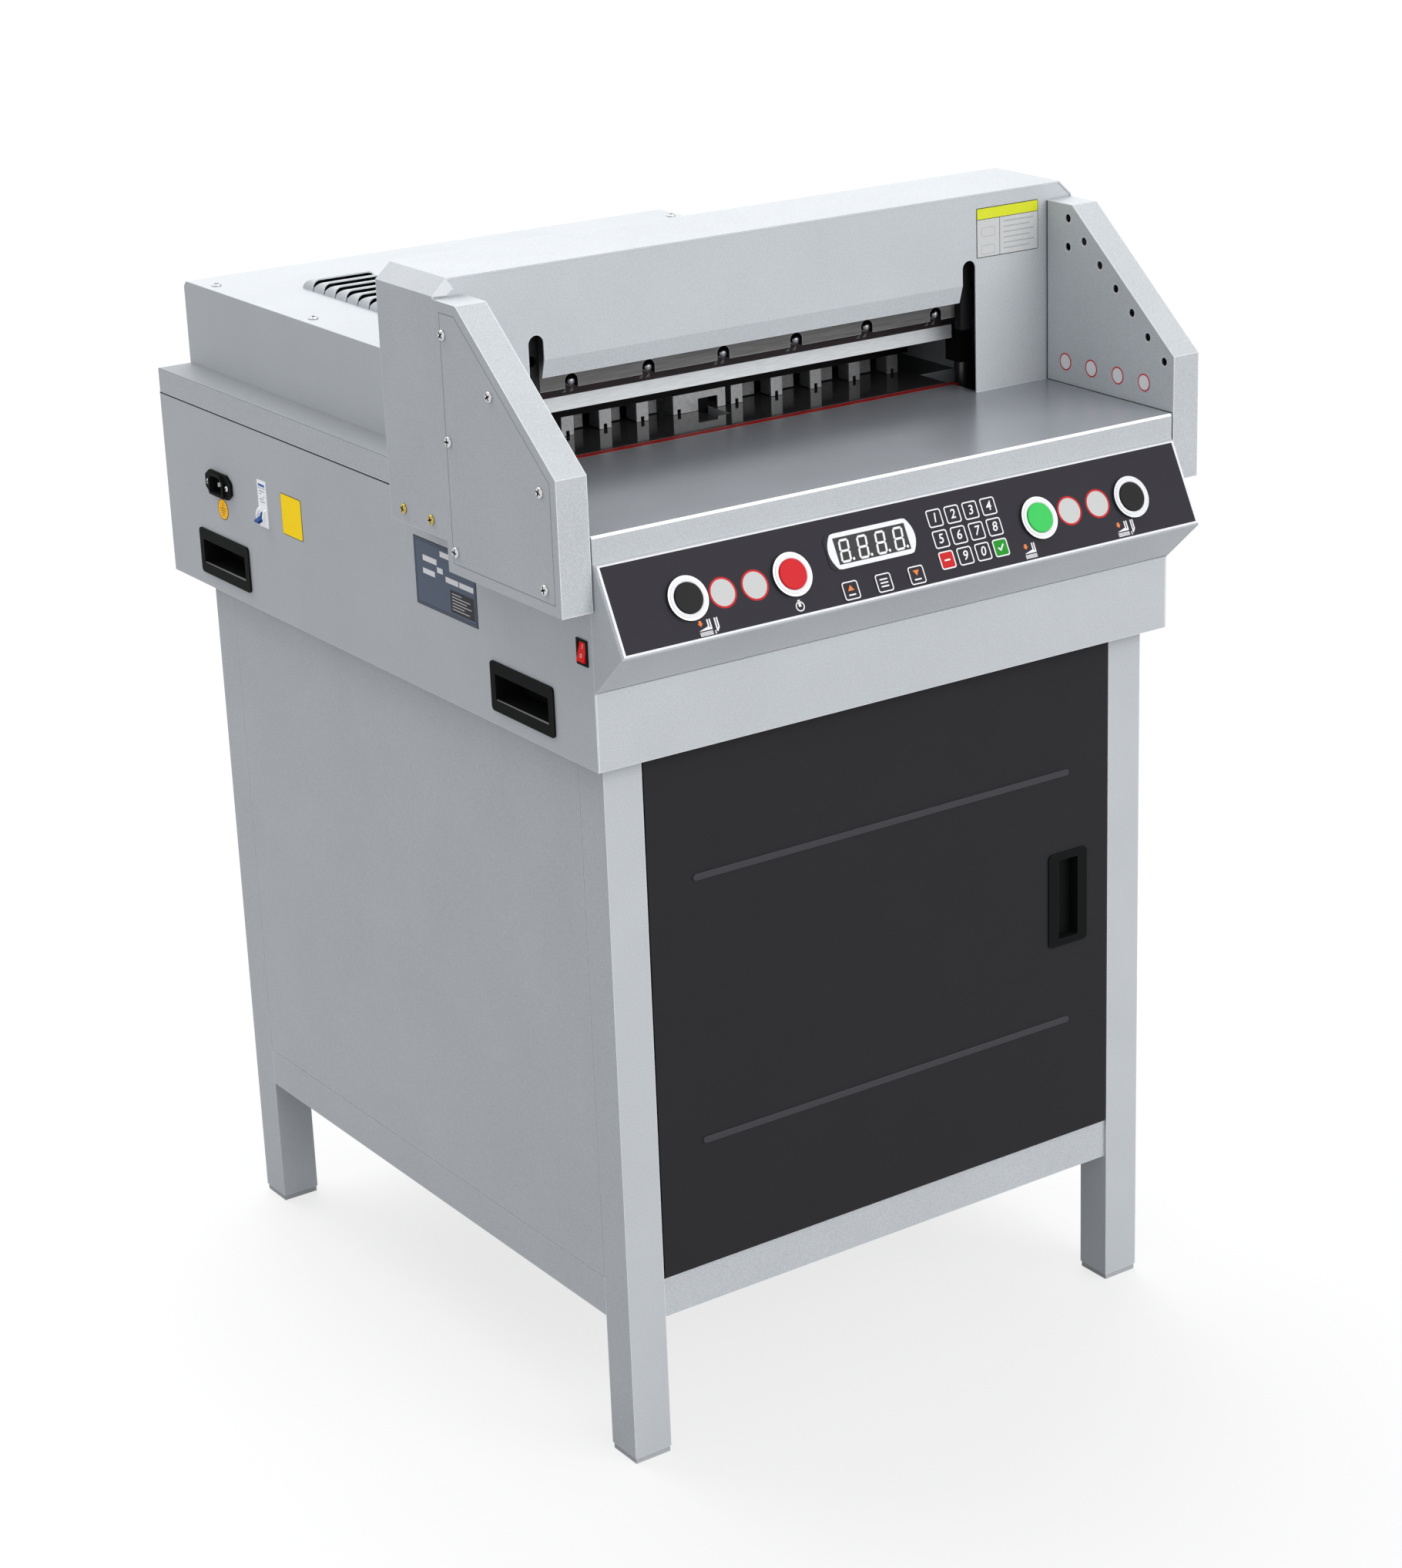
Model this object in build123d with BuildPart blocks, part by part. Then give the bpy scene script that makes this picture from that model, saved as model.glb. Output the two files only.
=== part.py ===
"""Electric paper cutter on a cabinet stand, as separate pieces. Millimetres, +Z up, origin under its middle."""
from build123d import *
import os
from math import atan2, cos, degrees, hypot, radians, sin

os.makedirs("parts", exist_ok=True)

# Driving sizes of the whole machine
body_width = 650.0
body_depth = 814.0
body_height = 189.0
stand_height = 699.0
nose_reach = 47.0
table_thickness = 24.0
sheet = 1.5
fit = 0.3
running_fit = 0.05
overrun = 5.0

half = body_width / 2
apron_y = (nose_reach - body_depth) / 2
rear_y = apron_y + body_depth
body_bottom = stand_height
body_top = body_bottom + body_height
table_top = body_top + table_thickness

# Stand and cabinet
leg_width = 40.0
leg_wall = 2.0
leg_inset_side = 16.0
leg_inset_front = 19.0
leg_inset_rear = 56.5
pad_height = 6.0
pad_inset = 2.0
rail_bottom = 141.0
rail_height = 39.5
rail_depth = 30.0
rail_setback = 3.0
cabinet_sheet = 1.2
panel_seam = 0.8
floor_overlap = 10.0

leg_outer = half - leg_inset_side
leg_inner = leg_outer - leg_width
leg_front = apron_y + leg_inset_front
leg_front_back = leg_front + leg_width
leg_rear = rear_y - leg_inset_rear
leg_rear_front = leg_rear - leg_width
rail_top = rail_bottom + rail_height
upper_rail_bottom = body_bottom - rail_height

# Door: a pressed pan that turns on two pins close to its left front corner
door_depth = 18.0
door_side_gap = 1.5
door_end_gap = 2.0
door_pivot_inset = 3.0
pivot_pin_radius = 1.5
pivot_pin_reach = 8.0
pivot_plate = 1.5
pivot_plate_width = 14.0
pivot_plate_depth = 18.0
pivot_plate_setback = 0.5
bead_height = 7.0
bead_proud = 1.8
bead_round = 1.2
bead_left = -220.5
bead_right = 218.5
bead_levels = (309.6, 570.0)

door_left = -leg_inner + door_side_gap
door_right = leg_inner - door_side_gap
door_bottom = rail_top + door_end_gap
door_top = body_bottom - door_end_gap
pivot_x = door_left + door_pivot_inset
pivot_y = leg_front + door_pivot_inset

# Door handle: a black cup with a raised frame
handle_width = 48.0
handle_height = 98.0
handle_x = 217.0
handle_z = 439.4
handle_frame = 2.0
handle_mouth_width = 24.5
handle_mouth_height = 83.0
handle_cup_depth = 14.0
handle_wall = 2.0
handle_round = 5.0

# Carrying grips in the side sheets
grip_length = 106.0
grip_height = 47.0
grip_border = 8.0
grip_border_upright = 11.2
grip_frame = 2.0
grip_cup_depth = 30.0
grip_wall = 2.0
grip_round = 4.0
grip_from_front = 120.0
grip_from_rear = 121.0
grip_level = 37.5

# Console: a sloping face between a lower nose and the table's front edge
apron_height = 71.0
nose_height = 114.0
console_top_reach = 8.0
console_round = 2.5
apron_lap = 4.0
overlay_thickness = 0.8
overlay_margin_side = 4.0
overlay_margin_end = 3.0
bezel_radius = 20.0
bezel_proud = 3.5
barrel_radius = 15.5
barrel_depth = 24.0
well_radius = 14.3
well_depth = 2.2
button_radius = 14.0
button_rest = 2.0
button_height = 3.8
button_round = 1.0
button_travel = 3.0
stem_radius = 4.0
stem_length = 20.0
button_row = 39.0
left_cut_x = -247.0
power_x = -137.5
reset_x = 141.0
right_cut_x = 252.0
key_proud = 0.5
key_size = 16.0
key_pitch = 20.6
key_row_pitch = 19.7
keypad_x = 28.8
keypad_s = 20.7
menu_key_width = 19.0
menu_key_height = 18.0
menu_key_pitch = 36.5
menu_key_x = -81.2
menu_key_s = 13.8
key_round = 3.2
display_width = 100.0
display_height = 33.0
display_x = -45.5
display_s = 50.0
display_proud = 0.7
display_round = 7.0

apron_top = body_bottom + apron_height
nose_y = apron_y - nose_reach
nose_z = body_bottom + nose_height
face_run = nose_reach - console_top_reach
face_rise = body_height - nose_height
face_length = hypot(face_run, face_rise)
console_face = Plane(origin=(0, nose_y, nose_z), x_dir=(1, 0, 0), z_dir=(0, -face_rise, face_run))

# Electrical fittings in the left side sheet, from its nearer end and above the base's underside
inlet_from_rear = 122.0
inlet_level = 115.7
inlet_flange_length = 54.0
inlet_flange_height = 25.0
inlet_flange = 3.0
inlet_ear = 9.0
inlet_body_length = 29.0
inlet_body_height = 21.0
inlet_body_depth = 26.0
inlet_mouth_length = 25.0
inlet_mouth_height = 17.0
inlet_mouth_depth = 17.0
inlet_pin_width = 2.0
inlet_pin_height = 4.0
inlet_pin_length = 13.0
inlet_pin_pitch = 7.0
inlet_pin_offset = 4.0
breaker_from_rear = 213.5
breaker_level = 114.6
breaker_width = 17.6
breaker_height = 47.0
breaker_reach = 60.0
breaker_proud = 0.6
lever_drop = 12.0
lever_axis_depth = 3.0
lever_radius = 5.0
lever_width = 8.0
lever_thickness = 3.0
lever_length = 13.0
lever_rest_angle = 22.0
rocker_from_front = 15.9
rocker_level = 106.3
rocker_flange_width = 17.0
rocker_flange_height = 23.4
rocker_flange = 1.5
rocker_mouth_width = 12.2
rocker_mouth_height = 19.2
rocker_wall = 1.0
rocker_body_depth = 14.0
rocker_axis_depth = 1.0
rocker_pin_radius = 1.0
rocker_low_angle = 4.0
rocker_high_angle = 30.0
rocker_ridge = 2.4
rocker_belly = 4.5
board_length = 200.0
board_width = 110.0
board_thickness = 1.6
board_height = 10.0
board_depth = 40.0
board_post_radius = 3.0
board_post_inset = 8.0
coil_length = 62.0
coil_width = 52.0
coil_height = 46.0
base_thickness = 6.0
rear_vent_rows = 5
rear_vent_width = 7.0

base_top = body_bottom + base_thickness
inlet_y = rear_y - inlet_from_rear
inlet_z = body_bottom + inlet_level
breaker_y = rear_y - breaker_from_rear
breaker_z = body_bottom + breaker_level
lever_z = breaker_z - lever_drop
rocker_y = apron_y + rocker_from_front
rocker_z = body_bottom + rocker_level

# Table: a cast plate with a deep rim, narrow between the side frames
table_overhang = 6.0
table_side_inset = 0.5
table_plate = 12.0
table_rim = 12.0
table_edge_round = 2.5
table_screw_gap = 9.0
stick_width = 9.6
stick_height = 8.0
stick_fit = 0.2
stick_half = 249.0
gauge_slot_width = 19.0

# Head: sheet cover over two side frames, with the cutting plane inside it
head_front_depth = 181.0
head_depth = 98.5
head_height = 193.6
head_chamfer_width = 15.5
head_chamfer_height = 13.9
head_overhang = 32.5
column_drop = 37.5
front_panel_setback = 1.0
panel_to_rod = 8.8
rod_thickness = 10.0
rod_to_carrier = 2.7
carrier_thickness = 14.0
blade_thickness = 9.0
clamp_gap = 1.0
clamp_thickness = 26.0
throat_left = -263.5
throat_right = 238.5
throat_slot_width = 15.8
throat_slot_top = 130.3
lip_top = 107.0
lip_bottom = 89.5
lip_run = 5.5
frame_thickness = 20.0
frame_gap = 5.0
frame_margin = 5.0
frame_top_gap = 6.0
column_screw_radius = 4.5
column_screw_head = 2.2
column_screw_first = 25.0
column_screw_pitch = 49.0
column_screw_drop = 24.0
column_boss_radius = 8.0
column_screw_length = 10.0

head_y = apron_y + head_front_depth
head_rear_y = head_y + head_depth
head_top = table_top + head_height
head_half = half + head_overhang
column_bottom = table_top - column_drop
panel_y = head_y + front_panel_setback
rod_y = panel_y + sheet + panel_to_rod
carrier_y = rod_y + rod_thickness + rod_to_carrier
blade_y = carrier_y + carrier_thickness
cut_y = blade_y + blade_thickness
clamp_y = cut_y + clamp_gap
frame_y = panel_y + sheet + frame_margin / 2
frame_rear_y = head_rear_y - sheet - frame_margin / 2
frame_outer_half = half - frame_gap
frame_inner_half = frame_outer_half - frame_thickness
beam_y = cut_y + fit + fit
table_gap_y = frame_y - frame_margin / 5
table_gap_rear_y = frame_rear_y + frame_margin / 5

# Guards beside the front table, and their cover plates
guard_thickness = 31.0
guard_front_reach = 6.5
guard_drop = 66.0
guard_knee = 54.3
guard_height = 177.2
guard_top_length = 38.0
guard_sheet = 1.5
cover_sheet = 1.5
cover_inset = 9.5
cover_fit = 0.35
ledge_width = 16.0
guard_screw_radius = 4.3
guard_screw_head = 2.2
guard_screw_shank = 1.9
guard_hole_radius = 4.2
guard_boss_radius = 7.0
guard_boss_inset = 40.0
guard_boss_drop = 12.0

guard_recess = cover_sheet
guard_ledge = guard_recess + guard_sheet
guard_outer = head_half
guard_inner = guard_outer - guard_thickness
guard_rear_y = head_y - fit
guard_front_y = apron_y - guard_front_reach
guard_bottom_z = table_top - guard_drop
guard_knee_z = table_top + guard_knee
guard_top_z = table_top + guard_height
guard_top_y = guard_rear_y - guard_top_length

# Rear hood over the back gauge
hood_half = 288.0
hood_height = 85.3
hood_rear_chamfer = 5.5
vent_length = 73.0
vent_pitch = 22.7
vent_count = 8
vent_x = 178.0
vent_first = 137.0
louvre_height = 11.5
louvre_depth = 19.0
louvre_corner = 9.5
hood_screw_inset_side = 13.0
hood_screw_inset_rear = 48.0
hood_screw_pitch = 204.0

hood_y = head_rear_y + fit
hood_top = table_top + hood_height

# Knife: it slides down and a little to the left on two guide pins
knife_drop = 58.5
knife_shift = 12.0
blade_edge = 59.1
blade_height = 38.0
blade_half = 250.0
bevel_height = 14.0
edge_land = 0.4
carrier_bottom = 71.8
carrier_gap_left = 38.0
carrier_gap_right = 15.0
carrier_margin = 8.0
guide_pin_radius = 8.0
guide_pin_x = 150.0
guide_pin_head_radius = 12.0
guide_pin_head = 3.0
guide_pin_above_blade = 13.0
bolt_count = 6
bolt_pitch = 82.8
bolt_level = 18.4
bolt_head_radius = 4.8
bolt_head_height = 9.5
bolt_crown_round = 4.3
bolt_shank_radius = 3.0
pocket_width = 13.8
pocket_depth = 8.0
pocket_rise = 0.5
arm_proud = 10.0
arm_top = 134.0
arm_bottom = 60.3
arm_left_inner = 246.0
arm_right_inner = 230.0
arm_hole_radius = 5.0
arm_hole_level = 104.0
arm_pin_radius = 6.5
arm_pin_inset = 13.0
arm_pin_proud = 6.0
lug_width = 22.0
lug_drop = 36.0
lug_pin_radius = 8.0
lug_pin_rise = 11.0
lug_pin_overhang = 2.5
eye_radius = 11.0
rod_width = 16.0
knife_travel = hypot(knife_drop, knife_shift)
carrier_left = frame_inner_half - carrier_gap_left
carrier_right = frame_inner_half - carrier_gap_right

edge_z = table_top + blade_edge
blade_top_z = edge_z + blade_height
carrier_bottom_z = table_top + carrier_bottom
pin_z = blade_top_z + guide_pin_above_blade
carrier_top_z = pin_z + knife_drop + guide_pin_radius + carrier_margin
lug_bottom_z = carrier_bottom_z - lug_drop
lug_pin_x = carrier_right - lug_width / 2
lug_pin_z = lug_bottom_z + lug_pin_rise
bolt_z = edge_z + bolt_level

# Knife drive in the base: worm gearbox, crank disc and motor
crank_from_frame = 50.0
crank_z = 91.0
crank_margin = 12.0
crank_thickness = 12.0
crank_to_rod = 3.7
crank_shaft_radius = 12.0
crank_shaft_length = 54.0
gearbox_gap = 4.0
gearbox_width = 98.0
gearbox_depth = 74.0
gearbox_height = 110.0
gearbox_foot_inset = 5.0
knife_motor_radius = 42.0
knife_motor_length = 115.0
fan_cover_length = 18.0
fan_cover_extra = 3.0

crank_x = frame_inner_half - crank_from_frame
crank_centre_z = body_bottom + crank_z
crank_pin_x = crank_x + knife_shift / 2
crank_pin_z = crank_centre_z + knife_drop / 2
crank_y = rod_y + rod_thickness + crank_to_rod
crank_radius = hypot(knife_shift, knife_drop) / 2 + crank_margin
gearbox_y = crank_y + crank_thickness + gearbox_gap

# Clamp: a beam carried by two upright screws that one belt turns together
clamp_rest = 45.3
clamp_height = 45.7
clamp_half = 245.0
clamp_screw_from_frame = 32.0
clamp_screw_radius = 8.0
clamp_nut_width = 24.0
clamp_nut_drop = 27.0
clamp_nut_inset = 2.0
clamp_arm_height = 30.0
clamp_screw_top = 116.0
pulley_radius = 14.0
pulley_top = 30.0
pulley_height = 14.0
pulley_flange = 2.0
pulley_flange_extra = 3.0
belt_thickness = 1.95
shelf_top = 52.0
shelf_thickness = 12.0
shelf_reach = 50.0
shelf_half_depth = 14.0
clamp_motor_size = 60.0
clamp_motor_height = 78.0
screw_end = 18.0

clamp_screw_x = frame_inner_half - clamp_screw_from_frame
throat_table_half = clamp_screw_x - pulley_radius - pulley_flange_extra - table_screw_gap
screw_y = clamp_y + clamp_thickness / 2
clamp_bottom_z = table_top + clamp_rest
clamp_top_z = clamp_bottom_z + clamp_height
pulley_top_z = table_top - pulley_top
pulley_bottom_z = pulley_top_z - pulley_height
shelf_top_z = table_top - shelf_top
shelf_bottom_z = shelf_top_z - shelf_thickness

# Head beam between the side frames, which carries the guide pins and the tops of the clamp screws
beam_thickness = 29.4
beam_rise = 9.0
beam_height = 73.0

beam_bottom_z = clamp_top_z + beam_rise
beam_top_z = beam_bottom_z + beam_height

# Back gauge
gauge_rest = 72.0
gauge_forward = 35.0
gauge_back = 378.0
fence_sheet = 2.0
fence_clearance = 0.4
finger_height = 19.7
finger_width = 13.0
fence_height = 56.0
centre_left = -36.7
centre_width = 60.0
left_pitch = 41.7
right_pitch = 47.1
right_first = 30.2
left_fingers = 5
right_fingers = 5
notch_width = 4.0
notch_height = 5.0
window_width = 22.7
window_height = 12.0
window_x = 2.9
pocket_sheet = 1.2
pocket_reach = 18.0
pocket_end_gap = 8.0
pocket_bend = 9.0
pocket_bottom_gap = 1.2
strip_thickness = 3.6
carriage_left = 246.0
carriage_right = 242.0
carriage_depth = 28.0
carriage_cap = 4.0
neck_width = 18.0
neck_setback = 9.0
neck_depth = 26.0
screw_level = 72.0
lead_screw_radius = 8.0
nut_half = 75.0
nut_height = 50.0
rod_spacing = 55.0
guide_rod_radius = 8.0
bearing_half = 72.0
bearing_thickness = 9.5
bearing_height = 85.0
bearing_gap = 2.5
gauge_motor_size = 57.0
gauge_motor_length = 66.0
slot_end_gap = 3.0

fence_y = cut_y + gauge_rest
fence_top_z = table_top + fence_height
finger_top_z = table_top + finger_height
screw_z = table_top - screw_level
neck_y = fence_y + neck_setback
nut_top_z = screw_z + nut_height / 2
slot_front_y = neck_y - gauge_forward - slot_end_gap
slot_rear_y = neck_y + neck_depth + gauge_back + slot_end_gap
front_bearing_y = neck_y - gauge_forward - bearing_gap - bearing_thickness
rear_bearing_y = neck_y + neck_depth + gauge_back + bearing_gap
plate_underside = table_top - table_plate

turns = {"X": (0, 90, 0), "Y": (-90, 0, 0), "Z": (0, 0, 0)}


def slab(xs, ys, zs, mode=Mode.ADD):
    """A block in the part being built, from its low and high place along each axis."""
    spans = (xs, ys, zs)
    with Locations(tuple((low + high) / 2 for low, high in spans)):
        Box(*(high - low for low, high in spans), mode=mode)


def bar(axis, span, place, radius, mode=Mode.ADD):
    """A cylinder along one axis between two places on it; place holds its other two coordinates."""
    low, high = span
    middle = (low + high) / 2
    if axis == "X":
        at = (middle, place[0], place[1])
    elif axis == "Y":
        at = (place[0], middle, place[1])
    else:
        at = (place[0], place[1], middle)
    with Locations(Location(at, turns[axis])):
        Cylinder(radius, high - low, mode=mode)


def side_span(side, near, far):
    """Two distances from the middle as a low and high x on the left (-1) or right (1) side."""
    return tuple(sorted((side * near, side * far)))


def profile_yz(points, xs, mode=Mode.ADD):
    """An outline of (y, z) points, extruded from a low to a high x."""
    with BuildSketch(Plane.YZ.offset(xs[0])) as outline:
        with BuildLine():
            Polyline(*points, close=True)
        make_face()
    extrude(outline.sketch, amount=xs[1] - xs[0], mode=mode)


# Legs: square tube on both sides of the door and at the back
def leg_pair(front, back):
    """Two upright tubes between a front and a back plane."""
    for side in (-1, 1):
        slab(side_span(side, leg_inner, leg_outer), (front, back), (pad_height, body_bottom))
        slab(side_span(side, leg_inner + leg_wall, leg_outer - leg_wall),
             (front + leg_wall, back - leg_wall), (pad_height, body_bottom), mode=Mode.SUBTRACT)


with BuildPart() as front_legs:
    leg_pair(leg_front, leg_front_back)

with BuildPart() as rear_legs:
    leg_pair(leg_rear_front, leg_rear)

with BuildPart() as foot_pads:
    for side in (-1, 1):
        for front, back in ((leg_front, leg_front_back), (leg_rear_front, leg_rear)):
            slab(side_span(side, leg_inner + pad_inset / 2, leg_outer - pad_inset / 2),
                 (front + pad_inset / 2, back - pad_inset / 2), (0, pad_height))


# Rails: a ring of rectangular tube at the bottom of the cabinet and one at its top
def tube(xs, ys, zs, along):
    """A rectangular tube between two corners, open at its ends along X or Y."""
    slab(xs, ys, zs)
    inner = [(low + leg_wall, high - leg_wall) for low, high in (xs, ys, zs)]
    inner["XY".index(along)] = (xs, ys)["XY".index(along)]
    slab(*inner, mode=Mode.SUBTRACT)


with BuildPart() as stand_rails:
    across = (-leg_inner, leg_inner)
    along = (leg_front_back, leg_rear_front)
    low = (rail_bottom, rail_top)
    high = (upper_rail_bottom, body_bottom)
    tube(across, (leg_front + rail_setback, leg_front + rail_setback + rail_depth), low, "X")
    tube(across, (leg_rear - rail_setback - rail_depth, leg_rear - rail_setback), low, "X")
    behind_door = leg_front + door_depth + door_end_gap
    tube(across, (behind_door, leg_front_back), high, "X")
    tube(across, (leg_rear_front, leg_rear - rail_setback - cabinet_sheet), high, "X")
    for side in (-1, 1):
        tube(side_span(side, leg_outer - rail_depth, leg_outer), along, low, "Y")
        tube(side_span(side, leg_outer - rail_depth, leg_outer - cabinet_sheet), along, high, "Y")

with BuildPart() as cabinet_sides:
    for side in (-1, 1):
        slab(side_span(side, leg_outer - cabinet_sheet, leg_outer),
             (leg_front_back + panel_seam, leg_rear_front - panel_seam),
             (rail_top + panel_seam, body_bottom - panel_seam))

with BuildPart() as cabinet_back:
    slab((-leg_inner + panel_seam, leg_inner - panel_seam),
         (leg_rear - rail_setback - cabinet_sheet, leg_rear - rail_setback),
         (rail_top, body_bottom - panel_seam))

with BuildPart() as cabinet_floor:
    slab((-leg_inner + panel_seam, leg_inner - panel_seam),
         (leg_front + door_depth + door_end_gap, leg_rear - rail_setback - cabinet_sheet - panel_seam),
         (rail_top, rail_top + sheet))
    slab((-(leg_outer - rail_depth + floor_overlap), leg_outer - rail_depth + floor_overlap),
         (leg_front_back + panel_seam, leg_rear_front - panel_seam), (rail_top, rail_top + sheet))

# Door pan with two pressed ribs, a hole for the handle cup and pivot bores in its end flanges
with BuildPart() as door:
    slab((door_left, door_right), (leg_front, leg_front + door_depth), (door_bottom, door_top))
    slab((door_left + cabinet_sheet, door_right - cabinet_sheet),
         (leg_front + cabinet_sheet, leg_front + door_depth),
         (door_bottom + cabinet_sheet, door_top - cabinet_sheet), mode=Mode.SUBTRACT)
    with BuildSketch(Plane.XZ.offset(-leg_front)) as ribs:
        for level in bead_levels:
            with Locations(((bead_left + bead_right) / 2, level)):
                SlotOverall(bead_right - bead_left, bead_height)
    extrude(amount=bead_proud)
    rib_rims = door.edges().filter_by_position(Axis.Y, leg_front - bead_proud, leg_front - bead_proud)
    fillet(rib_rims, bead_round)
    cup_width = handle_mouth_width + 2 * handle_wall
    cup_height = handle_mouth_height + 2 * handle_wall
    slab((handle_x - cup_width / 2 - fit, handle_x + cup_width / 2 + fit),
         (leg_front - fit, leg_front + cabinet_sheet + fit),
         (handle_z - cup_height / 2 - fit, handle_z + cup_height / 2 + fit), mode=Mode.SUBTRACT)
    bar("Z", (door_bottom - fit, door_top + fit), (pivot_x, pivot_y),
        pivot_pin_radius + running_fit, mode=Mode.SUBTRACT)

with BuildPart() as door_handle:
    with BuildSketch(Plane.XZ.offset(-leg_front)):
        with Locations((handle_x, handle_z)):
            RectangleRounded(handle_width, handle_height, handle_round)
    extrude(amount=handle_frame)
    slab((handle_x - cup_width / 2, handle_x + cup_width / 2), (leg_front, leg_front + handle_cup_depth),
         (handle_z - cup_height / 2, handle_z + cup_height / 2))
    slab((handle_x - handle_mouth_width / 2, handle_x + handle_mouth_width / 2),
         (leg_front - handle_frame, leg_front + handle_cup_depth - handle_wall),
         (handle_z - handle_mouth_height / 2, handle_z + handle_mouth_height / 2), mode=Mode.SUBTRACT)

with BuildPart() as door_pivot_pins:
    plate_x = (-leg_inner, -leg_inner + pivot_plate_width)
    plate_y = (leg_front + pivot_plate_setback, leg_front + pivot_plate_depth)
    slab(plate_x, plate_y, (rail_top, rail_top + pivot_plate))
    bar("Z", (rail_top, rail_top + pivot_pin_reach), (pivot_x, pivot_y), pivot_pin_radius)
    slab(plate_x, plate_y, (body_bottom - pivot_plate, body_bottom))
    bar("Z", (body_bottom - pivot_pin_reach, body_bottom), (pivot_x, pivot_y), pivot_pin_radius)

# Base casing
inside = half - sheet

with BuildPart() as base_plate:
    slab((-inside, inside), (apron_y + sheet, rear_y - sheet), (body_bottom, base_top))


def grip_places():
    """Depth positions of the two grips in a side sheet."""
    return (apron_y + grip_from_front, rear_y - grip_from_rear)


grip_z = body_bottom + grip_level
grip_cup_length = grip_length - 2 * grip_border + 2 * grip_wall
grip_cup_height = grip_height - 2 * grip_border_upright + 2 * grip_wall
boss_ys = [head_y + column_screw_first + step * column_screw_pitch for step in (0, 1)]
boss_z = table_top - column_screw_drop


def side_sheet(side):
    """A casing side with its grip cut-outs and a notch under the column for the frame's bosses."""
    span = side_span(side, inside, half)
    through = (span[0] - overrun, span[1] + overrun)
    slab(span, (apron_y, rear_y), (body_bottom, body_top))
    for place in grip_places():
        slab(through, (place - grip_cup_length / 2 - fit, place + grip_cup_length / 2 + fit),
             (grip_z - grip_cup_height / 2 - fit, grip_z + grip_cup_height / 2 + fit), mode=Mode.SUBTRACT)
    slab(through, (boss_ys[0] - column_boss_radius - fit, boss_ys[1] + column_boss_radius + fit),
         (boss_z - column_boss_radius - fit, body_top), mode=Mode.SUBTRACT)


with BuildPart() as side_panel_right:
    side_sheet(1)

left_through = (-half - overrun, -inside + overrun)
rocker_cut_width = rocker_mouth_width + 2 * rocker_wall
rocker_cut_height = rocker_mouth_height + 2 * rocker_wall

with BuildPart() as side_panel_left:
    side_sheet(-1)
    cuts = ((inlet_y, inlet_z, inlet_body_length, inlet_body_height),
            (breaker_y, breaker_z, breaker_width, breaker_height),
            (rocker_y, rocker_z, rocker_cut_width, rocker_cut_height))
    for y, z, length, height in cuts:
        slab(left_through, (y - length / 2 - running_fit, y + length / 2 + running_fit),
             (z - height / 2 - running_fit, z + height / 2 + running_fit), mode=Mode.SUBTRACT)

with BuildPart() as front_apron:
    slab((-inside, inside), (apron_y, apron_y + sheet), (body_bottom, apron_top + apron_lap))

with BuildPart() as rear_panel:
    slab((-inside, inside), (rear_y - sheet, rear_y), (body_bottom, body_top))
    with BuildSketch(Plane.XZ.offset(-rear_y)):
        with Locations((0, body_bottom + body_height / 2)):
            with GridLocations(2 * vent_x, vent_pitch, 2, rear_vent_rows):
                SlotOverall(vent_length, rear_vent_width)
    extrude(amount=sheet, mode=Mode.SUBTRACT)

with BuildPart() as grip_cups:
    for side in (-1, 1):
        for place in grip_places():
            with BuildSketch(Plane.YZ.offset(side * half)):
                with Locations((place, grip_z)):
                    RectangleRounded(grip_length, grip_height, grip_round)
            extrude(amount=side * grip_frame)
            slab(side_span(side, half - grip_cup_depth, half),
                 (place - grip_cup_length / 2, place + grip_cup_length / 2),
                 (grip_z - grip_cup_height / 2, grip_z + grip_cup_height / 2))
            slab(side_span(side, half - grip_cup_depth + grip_wall, half + grip_frame),
                 (place - grip_cup_length / 2 + grip_wall, place + grip_cup_length / 2 - grip_wall),
                 (grip_z - grip_cup_height / 2 + grip_wall, grip_z + grip_cup_height / 2 - grip_wall),
                 mode=Mode.SUBTRACT)

# Console shell: a bent sheet with end cheeks, open to the base behind it
top_y = apron_y - console_top_reach
console_outline = ((apron_y, apron_top), (nose_y, nose_z), (top_y, body_top), (apron_y, body_top))
button_xs = (left_cut_x, power_x, reset_x, right_cut_x)

with BuildPart() as console_shell:
    profile_yz(console_outline, (-half, half))
    slope_face = console_shell.faces().sort_by(Axis.Y)[0]
    fillet(slope_face.edges(), console_round)
    with BuildSketch(Plane.YZ.offset(-inside)):
        with BuildLine():
            Polyline(*console_outline, close=True)
        make_face()
        offset(amount=-sheet, kind=Kind.INTERSECTION)
        with Locations((apron_y - sheet, (apron_top + body_top) / 2)):
            Rectangle(2 * sheet, body_top - apron_top - 2 * sheet)
    extrude(amount=2 * inside, mode=Mode.SUBTRACT)
    with BuildSketch(console_face):
        with Locations(*((x, button_row) for x in button_xs)):
            Circle(barrel_radius + fit / 3)
    extrude(amount=-2 * sheet, mode=Mode.SUBTRACT)

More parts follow.
